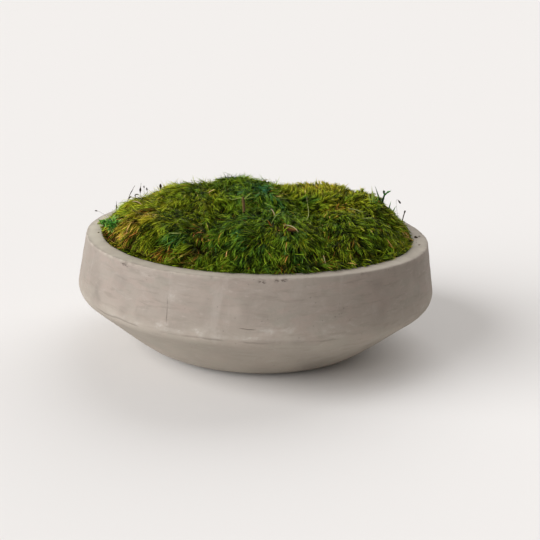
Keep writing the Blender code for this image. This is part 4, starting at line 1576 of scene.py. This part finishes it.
def toned(name, stops, grain, shift, roughness, specular):
    """A material that turns the tone stored on the mesh, shifted a little by noise, into a colour."""
    mix = Shading(name, roughness=roughness, specular=specular)
    speckle = mix.maths("SUBTRACT", mix.noise(mix.place(), grain, 3.0, 0.65), 0.5)
    tone = mix.maths("ADD", mix.attribute("tone"), mix.maths("MULTIPLY", speckle, shift))
    return mix.colour(mix.ramp(tone, stops))


BARK = toned("bark_and_husk", (
    (0.00, (0.012, 0.008, 0.006)),
    (0.25, (0.048, 0.028, 0.009)),
    (0.50, (0.110, 0.070, 0.024)),
    (0.75, (0.230, 0.150, 0.070)),
    (1.00, (0.400, 0.290, 0.170)),
), grain=900.0, shift=0.3, roughness=0.9, specular=0.1)
LEAFY = toned("leafy_green", (
    (0.00, (0.008, 0.016, 0.005)),
    (0.20, (0.022, 0.060, 0.012)),
    (0.40, (0.045, 0.205, 0.028)),
    (0.58, (0.095, 0.320, 0.040)),
    (0.75, (0.270, 0.350, 0.060)),
    (0.88, (0.400, 0.400, 0.160)),
    (1.00, (0.460, 0.300, 0.200)),
), grain=500.0, shift=0.25, roughness=0.6, specular=0.15)
DEAD_LEAF = toned("dead_leaf", (
    (0.00, (0.030, 0.014, 0.006)),
    (0.35, (0.085, 0.036, 0.009)),
    (0.65, (0.180, 0.082, 0.020)),
    (0.85, (0.260, 0.165, 0.060)),
    (1.00, (0.400, 0.290, 0.170)),
), grain=420.0, shift=0.5, roughness=0.8, specular=0.1)

# %% [markdown]
# ### The forked twig
#
# A dry twig, as thick as a match and with a ridged bark, stands in the seam before the middle cushion and
# leans back. Bark is made by letting the radius of the tube waver round it and along it. Two thin pale side
# shoots leave it near its top, where its broken end shows.

# %% Twig
# The way of the twig: x, y and distance over the moss in mm, and its radius at each place
TWIG = (
    (-12.2, -73.0, 0.2),
    (-12.5, -70.0, 1.5),
    (-13.0, -64.5, 4.0),
    (-13.6, -59.0, 6.4),
    (-14.4, -51.0, 9.8),
)
TWIG_RADII = np.array([1.2, 1.4, 1.5, 1.4, 1.1]) * MM
TWIG_STEPS, TWIG_SIDES = 40, 16
# Side shoots: way, radius at both ends in mm, tone
SIDE_SHOOTS = (
    (((-14.1, -53.5, 9.0), (-19.0, -53.0, 9.8), (-25.5, -53.5, 9.6), (-27.2, -53.2, 11.2)), 0.50, 0.22, 0.76),
    (((-13.8, -53.5, 8.4), (-10.0, -52.5, 11.2), (-6.5, -51.5, 14.2)), 0.50, 0.25, 0.74),
    (((-13.5, -54.0, 8.2), (-9.0, -53.0, 9.2), (-2.0, -51.0, 9.8)), 0.40, 0.20, 0.72),
)
SIDE_SHOOT_STEPS = 16
BARK_RIDGES = 0.22
# Bark tone, how much paler one side is painted as a painted highlight, and the angle round the twig where it
# is palest
BARK_PALE, BARK_LIT, BARK_LIGHT_SIDE = 0.22, 0.24, 2.6


def twig():
    """The twig, its bark a little paler on the ridges with a painted highlight down one side, and its side
    shoots.
    """
    path = smooth_way(over_moss(TWIG), TWIG_STEPS)
    angle = np.arange(TWIG_SIDES) * math.tau / TWIG_SIDES
    share = np.linspace(0, 1, TWIG_STEPS)
    spot = np.broadcast_arrays(2.2 * np.cos(angle), 2.2 * np.sin(angle), 3 * share[:, None])
    ridges = noise(np.stack(spot, axis=-1), 1.0, 61)
    radii = np.interp(share, np.linspace(0, 1, len(TWIG)), TWIG_RADII)[:, None] * (1 + BARK_RIDGES * ridges)
    # One side of the bark is painted paler as a painted highlight, and the ridges a little paler
    pale = BARK_PALE + BARK_LIT * np.cos(angle - BARK_LIGHT_SIDE) + 0.15 * ridges
    litter("twig_bark", [tube(path, radii, pale, TWIG_SIDES)], BARK, "bark", "twig")
    shoots = []
    for way, thick, thin, tone in SIDE_SHOOTS:
        path = smooth_way(over_moss(way), SIDE_SHOOT_STEPS)
        shoots.append(tube(path, np.linspace(thick, thin, SIDE_SHOOT_STEPS) * MM, tone, sides=6))
    litter("twig_side_shoots", shoots, LEAFY, "bark")


twig()

# %% [markdown]
# ### The dry leaf
#
# The scrap of leaf is thin, curled up at both ends and along its far edge, and torn. It is a tube pressed
# flat: at u along the leaf and v across it, its middle surface lies u squared and v squared times a curl
# above the moss, and its half width falls off towards both ends and wavers with noise.

# %% Dry leaf
DRY_LEAF = np.array([30.0, -112.5]) * MM
DRY_LEAF_HALF = np.array([5.4, 2.4]) * MM
DRY_LEAF_CURL = np.array([1.0, 1.6]) * MM
DRY_LEAF_THICKNESS = 0.4 * MM
DRY_LEAF_SUNK = 0.6 * MM
DRY_LEAF_ROWS, DRY_LEAF_SIDES = 30, 24
DRY_LEAF_TORN = 0.22


def dry_leaf():
    """The curled scrap of leaf: dark along its near edge, orange brown inside, pale on its far curl as a
    painted highlight.
    """
    turn = np.arange(DRY_LEAF_SIDES) * math.tau / DRY_LEAF_SIDES
    u, angle = np.meshgrid(np.linspace(-0.995, 0.995, DRY_LEAF_ROWS), turn, indexing="ij")
    v = np.cos(angle)
    edge = plan_noise(u, np.sign(v), 0.25, 62) * np.abs(v)
    half = DRY_LEAF_HALF[1] * np.sqrt(1.02 - u**2) * (1 + DRY_LEAF_TORN * edge)
    x = DRY_LEAF[0] + DRY_LEAF_HALF[0] * u
    y = DRY_LEAF[1] + half * v
    curl = DRY_LEAF_CURL[0] * u**2 + DRY_LEAF_CURL[1] * v**2 + 0.25 * MM * plan_noise(2 * u, v, 0.5, 63)
    thick = DRY_LEAF_THICKNESS * (0.5 + 0.5 * np.sin(angle))
    z = moss_height(x, y, dents=()) + curl + thick - DRY_LEAF_SUNK
    rings = np.stack([x, y, z], axis=-1)
    points = np.concatenate([rings.reshape(-1, 3), rings[[0, -1]].mean(axis=1)])
    # The far curl is painted pale as a painted highlight; the near edge and the end at negative u are darker
    tone = 0.33 - 0.24 * (v < -0.55) + 0.34 * (v > 0.6) - 0.25 * np.clip(-u, 0, 1)
    part = (points, *ring_faces(DRY_LEAF_ROWS, DRY_LEAF_SIDES), np.append(tone.ravel(), [0.2, 0.6]))
    litter("dry_leaf_scrap", [part], DEAD_LEAF, "dead_leaf", "dry_leaf")


dry_leaf()

# %% [markdown]
# ### The leafy sprig over the rim
#
# A fresh green sprig with small rounded leaves comes out of the moss at the left, and lies over the rim.
# Its main stem carries short side branches, and each branch carries leaves all round it, every leaf turned
# on from the one before by the golden angle, which is how most plants space their leaves.

# %% Leafy sprig
GOLDEN_ANGLE = 2.39996
SPRIG_ON_MOSS = ((-137.0, -52.0, 2.8), (-141.0, -40.0, 4.0), (-146.5, -24.0, 4.4))
SPRIG_OVER_RIM = ((-152.5, -8.0, 5.2), (-160.0, 4.5, 2.4))
SPRIG_RADII = np.array([0.9, 0.6]) * MM
# Side branches: share of the way along the stem, how far they reach in mm, leaves, tone
SPRIG_BRANCHES = (
    (0.02, (7.5, 1.0, 2.5), 14, 0.50),
    (0.04, (3.5, 6.0, 3.5), 12, 0.56),
    (0.04, (1.0, -10.5, -5.5), 18, 0.48),
    (0.05, (-2.5, -9.0, -5.0), 16, 0.46),
    (0.02, (5.0, -7.0, -2.0), 16, 0.50),
    (0.10, (-5.5, -5.0, -2.0), 12, 0.46),
    (0.22, (5.0, 5.0, 2.0), 12, 0.52),
    (0.66, (-4.0, -4.5, -1.0), 9, 0.50),
    (0.70, (3.0, 5.0, 1.0), 9, 0.56),
    (0.84, (-3.5, -3.0, -0.5), 9, 0.56),
)
SPRIG_LEAF = np.array([4.4, 2.7]) * MM
SPRIG_STEPS, BRANCH_STEPS = 40, 14
BRANCH_RADII = np.array([0.5, 0.25]) * MM
BRANCH_ARCH = np.array([0.0, 0.0, 0.8]) * MM
STEM_TONE, BRANCH_TONE = 0.16, 0.22
# Leaves at the end of the stem: from which step on, how many, their tone, and how much it rises to the tip
SPRIG_END, SPRIG_END_LEAVES = 30, (14, 0.58, 0.30)


def leaves_round(path, number, tone, tip_tone=0.15, lean=0.75, size=SPRIG_LEAF):
    """Leaves all round a branch, at the golden angle from one to the next, leaning ahead."""
    share = (np.arange(number) + 0.7) / number
    index = np.minimum((share * (len(path) - 1)).astype(int), len(path) - 1)
    ahead = unit(np.gradient(path, axis=0))[index]
    across = unit(np.cross(ahead, (0.0, 0.0, 1.0)))
    over = np.cross(across, ahead)
    turn = (np.arange(number) * GOLDEN_ANGLE)[:, None]
    outward = across * np.cos(turn) + over * np.sin(turn)
    grown = rng.uniform(0.8, 1.15, number) * (1.1 - 0.35 * share)
    shade = tone + rng.normal(0, 0.05, number) + 0.12 * share
    long, wide = size[0] * grown, size[1] * grown
    return small_leaves(path[index], outward + lean * ahead, ahead, long, wide, shade, tip_tone)


def leafy_sprig():
    """The stem, its side branches and all their leaves."""
    over_rim = np.array(SPRIG_OVER_RIM) * MM + [0.0, 0.0, HEIGHT]
    stem = smooth_way(np.concatenate([over_moss(SPRIG_ON_MOSS), over_rim]), SPRIG_STEPS)
    parts = [tube(stem, np.linspace(*SPRIG_RADII, SPRIG_STEPS), STEM_TONE, sides=8)]
    for share, reach, number, tone in SPRIG_BRANCHES:
        root = stem[int(share * (SPRIG_STEPS - 1))]
        reach = np.array(reach) * MM
        branch = smooth_way(np.array([root, root + reach * 0.5 + BRANCH_ARCH, root + reach]), BRANCH_STEPS)
        parts.append(tube(branch, np.linspace(*BRANCH_RADII, BRANCH_STEPS), BRANCH_TONE, sides=6))
        parts.append(leaves_round(branch, number, tone))
    parts.append(leaves_round(stem[SPRIG_END:], *SPRIG_END_LEAVES))
    litter("leafy_sprig", parts, LEAFY, "sprig_green", "green_sprig")


leafy_sprig()

# %% [markdown]
# ### The dark forked shoot and the standing blades
#
# At the right end a dark shoot stands up and forks: one arm ends in a small green leaf, the other in a bud.
# Near it single blades rise out of the moss, one dark and a few yellow green.

# %% Forked shoot and blades
FORKED_ROOT = ((126.5, 30.0, 0.8),)
FORKED_STEM = ((0.0, 0.0, -3.0), (0.0, 0.0, 0.0), (0.6, 0.2, 3.0), (1.4, 0.5, 6.0))
FORKED_RIGHT = ((1.0, 0.5, 5.2), (4.0, 1.0, 8.0), (7.2, 1.0, 10.0))
FORKED_LEFT = ((1.7, 0.5, 5.2), (0.8, 1.0, 7.8), (0.6, 1.0, 9.8))
FORKED_STEPS = 14
BUD_PLACE, BUD_SPAN = 0.8, 0.25
BLADE_CUP, BLADE_FULLEST = 0.06, 0.45
# Blades: root in mm, reach in mm, width in mm, tone at the root and how much it rises to the tip
BLADES = (
    ((123.0, 18.0, -3.0), (-6.8, 0.0, 17.5), 1.7, 0.10, 0.12),
    ((125.0, 22.0, -3.0), (-4.5, 1.0, 8.5), 1.3, 0.10, 0.20),
    ((113.0, -4.0, -3.0), (-2.2, 0.0, 18.5), 1.7, 0.66, 0.20),
    ((115.5, -3.0, -3.0), (-3.5, 0.5, 14.5), 1.5, 0.62, 0.20),
    ((111.0, -5.0, -3.0), (-4.0, 0.5, 13.0), 1.4, 0.68, 0.18),
    ((112.5, -2.0, -3.0), (1.8, 0.5, 12.0), 1.3, 0.62, 0.20),
    ((117.0, 2.0, -3.0), (2.4, 0.5, 9.5), 1.3, 0.52, 0.24),
    ((132.0, 20.0, -3.0), (2.0, 0.0, 9.0), 1.3, 0.32, 0.25),
    ((135.5, 18.0, -3.0), (3.5, 0.0, 7.5), 1.3, 0.36, 0.25),
)


def forked_shoot():
    """The stem, its two arms, the bud on one and the leaf on the other, and scales along them."""
    root = over_moss(FORKED_ROOT)
    ways = (FORKED_STEM, FORKED_RIGHT, FORKED_LEFT)
    stem, right, left = (smooth_way(root + np.array(rows) * MM, FORKED_STEPS) for rows in ways)
    share = np.linspace(0, 1, FORKED_STEPS)
    bud = np.exp(-(((share - BUD_PLACE) / BUD_SPAN) ** 2))
    parts = [
        tube(stem, np.linspace(1.1, 0.9, FORKED_STEPS) * MM, 0.12),
        tube(right, np.linspace(0.8, 0.5, FORKED_STEPS) * MM, np.linspace(0.10, 0.34, FORKED_STEPS)),
        tube(left, (0.7 + 0.5 * bud) * MM, 0.10),
        leaves_round(stem, 9, 0.16, 0.15, 1.4, SPRIG_LEAF * 0.8),
        leaves_round(right, 7, 0.20, 0.30, 1.6, SPRIG_LEAF * 0.7),
        leaves_round(left, 6, 0.14, 0.10, 1.6, SPRIG_LEAF * 0.6),
    ]
    litter("forked_shoot", parts, LEAFY, "sprig_dark", "dark_sprig")


def standing_blades():
    """Single blades that stand up out of the moss, each bent a little backwards."""
    roots = over_moss([blade[0] for blade in BLADES])
    reach, width, tone, rise = (np.array(column, float) for column in list(zip(*BLADES))[1:])
    length = np.linalg.norm(reach, axis=1) * MM
    back = np.tile([0.0, 1.0, 0.0], (len(roots), 1))
    tones = (tone, rise[:, None])
    blades = small_leaves(roots, reach, back, length, width * MM, *tones, BLADE_CUP, BLADE_FULLEST)
    litter("standing_blades", [blades], LEAFY, "moss_green")


forked_shoot()
standing_blades()

# %% [markdown]
# ### Spore stalks
#
# Moss sends up hair-thin stalks with a small dark capsule at or near the tip. A stalk is a tube whose radius
# swells to the capsule: stalk + swell * e to the power of minus ((share of the way - place) / span) squared.

# %% Spore stalks
# Root, places above it and radii of stalk and capsule in mm; the capsule's place on the way, and its span
STALKS = (
    ((-147.0, 33.0), ((-0.3, 0, 6.0), (-0.6, 0, 12.5)), 0.16, 0.80, 0.62, 0.13),
    ((-150.0, 5.0), ((-9.0, 2.0, 5.0), (-15.5, 5.0, 5.9)), 0.10, 0.70, 0.93, 0.06),
    ((-139.0, 44.0), ((3.0, 0, 9.0), (9.2, 0, 22.0)), 0.20, 0.35, 0.30, 0.06),
    ((-139.0, 42.0), ((2.5, 0, 8.0), (7.6, 0, 17.5)), 0.12, 0.45, 0.85, 0.10),
    ((-123.0, 36.0), ((-0.2, 0, 4.0), (0.8, 0, 11.5)), 0.14, 1.10, 0.50, 0.15),
    ((-119.0, 36.0), ((-0.3, 0, 3.5), (-0.4, 0, 6.8)), 0.10, 0.75, 0.88, 0.10),
    ((-116.0, 38.0), ((-0.6, 0, 1.5), (-1.0, 0, 3.8)), 0.12, 0.80, 0.75, 0.20),
    ((-102.0, 36.0), ((-0.3, 0, 1.0), (-0.4, 0, 3.0)), 0.30, 1.35, 0.60, 0.35),
    ((-134.0, 38.0), ((-0.8, 0, 3.0), (1.4, 0, 4.6)), 0.15, 0.65, 0.80, 0.22),
    ((-127.0, 40.0), ((-2.0, 0, 1.6), (1.6, 0, 2.4)), 0.20, 0.55, 0.60, 0.35),
    ((147.0, 28.0), ((1.2, 0, 7.0), (3.0, 0, 15.6)), 0.55, 0.85, 0.95, 0.06),
    ((143.0, 34.0), ((-1.2, 0, 12.0), (-1.6, 0, 21.0), (2.4, 0, 17.2)), 0.10, 0.85, 0.97, 0.06),
)
STALK_DEPTH = np.array([0.0, 0.0, 3.0]) * MM
STALK_STEPS = 40
STALK_TONE, CAPSULE_DARKER = 0.30, 0.25


def spore_stalks():
    """All stalks, pale brown below and dark at the capsule."""
    parts = []
    share = np.linspace(0, 1, STALK_STEPS)
    for (x, y), offsets, thin, thick, place, span in STALKS:
        root = over_moss([(x, y, 0.0)])
        way = np.concatenate([root - STALK_DEPTH, root + np.array(offsets) * MM])
        swell = np.exp(-(((share - place) / span) ** 2))
        radii = (thin + (thick - thin) * swell) * MM
        tone = STALK_TONE - CAPSULE_DARKER * swell
        parts.append(tube(smooth_way(way, STALK_STEPS), radii, tone, sides=8))
    litter("spore_stalks", parts, BARK, "bark")


spore_stalks()

# %% [markdown]
# ### Dry strands and crumbs
#
# A few long dry strands lie over the moss, paler than it. Crumbs of bark and soil have fallen on the rim.

# %% Strands and crumbs
# Strands: way over the moss in mm, radius in mm, tone
STRANDS = (
    (((47.0, -6.0, 1.5), (48.5, -25.0, 2.6), (48.0, -52.0, 2.6), (45.0, -87.0, 1.6)), 0.28, 0.84),
    (((12.0, -64.0, 1.5), (14.0, -76.0, 2.2), (16.5, -92.0, 1.2)), 0.30, 0.98),
    (((21.5, -78.0, 1.6), (17.5, -92.0, 2.2), (13.0, -110.0, 1.2)), 0.30, 0.70),
    (((24.5, -109.0, 1.8), (31.0, -110.5, 3.0), (37.5, -115.0, 2.0)), 0.34, 0.97),
    (((5.5, -34.0, 1.0), (9.0, -36.0, 2.4), (13.0, -46.0, 1.2)), 0.45, 0.70),
    (((-118.0, -20.0, 1.0), (-112.0, -12.0, 2.0), (-110.0, -2.0, 2.0)), 0.28, 0.84),
    (((-124.0, -14.0, 1.0), (-119.0, -20.0, 1.8), (-113.0, -27.0, 1.0)), 0.34, 0.98),
    (((-78.0, -110.0, 1.2), (-72.0, -112.0, 2.0), (-66.0, -111.0, 1.2)), 0.34, 0.80),
    (((60.0, -128.0, 1.5), (61.0, -132.0, 2.2), (63.0, -138.0, 1.5)), 0.36, 0.94),
    (((86.0, -40.0, 1.0), (92.0, -46.0, 2.0), (100.0, -48.0, 1.0)), 0.28, 0.84),
    (((98.0, -66.0, 1.0), (104.0, -64.0, 2.2), (108.0, -58.0, 1.5)), 0.28, 0.84),
)
# Crumbs on the rim: x, y and length in mm, tone
CRUMBS = (
    (158.5, -3.0, 5.0, 0.22),
    (163.0, 6.0, 3.6, 0.18),
    (161.0, -1.0, 3.0, 0.10),
    (157.5, -24.0, 2.4, 0.30),
    (156.0, -32.0, 4.0, 0.25),
    (158.5, -13.0, 1.8, 0.20),
    (-155.5, -30.0, 2.0, 0.40),
    (-156.5, 18.0, 1.4, 0.50),
    (60.0, 145.5, 1.8, 0.30),
    (-40.0, 153.0, 1.6, 0.20),
)
STRAND_STEPS = 24
CRUMB_WIDTH, CRUMB_TILT, CRUMB_CUP = 0.7, 0.12, 0.1


def dry_strands():
    """Long strands on the moss, which taper a little to both ends."""
    taper = np.sin(math.pi * np.linspace(0.08, 0.94, STRAND_STEPS)) ** 0.6
    parts = []
    for way, thick, tone in STRANDS:
        path = smooth_way(over_moss(way), STRAND_STEPS)
        parts.append(tube(path, thick * taper * MM, tone, sides=6))
    litter("dry_strands", parts, LEAFY, "dead_leaf")


def rim_crumbs():
    """Flakes that lie on the rim, each turned its own way and tilted a little."""
    x, y, long, tone = np.array(CRUMBS).T
    turn = rng.uniform(0, math.tau, len(x))
    ahead = np.stack([np.cos(turn), np.sin(turn), np.full(len(x), CRUMB_TILT)], axis=-1)
    roots = np.stack([x * MM, y * MM, np.full(len(x), HEIGHT)], axis=-1)
    up = np.tile([0.0, 0.0, 1.0], (len(x), 1))
    flakes = small_leaves(roots, ahead, up, long * MM, long * CRUMB_WIDTH * MM, tone, cup=CRUMB_CUP)
    litter("rim_crumbs", [flakes], BARK, "soil")


dry_strands()
rim_crumbs()

# %% Import json
import json
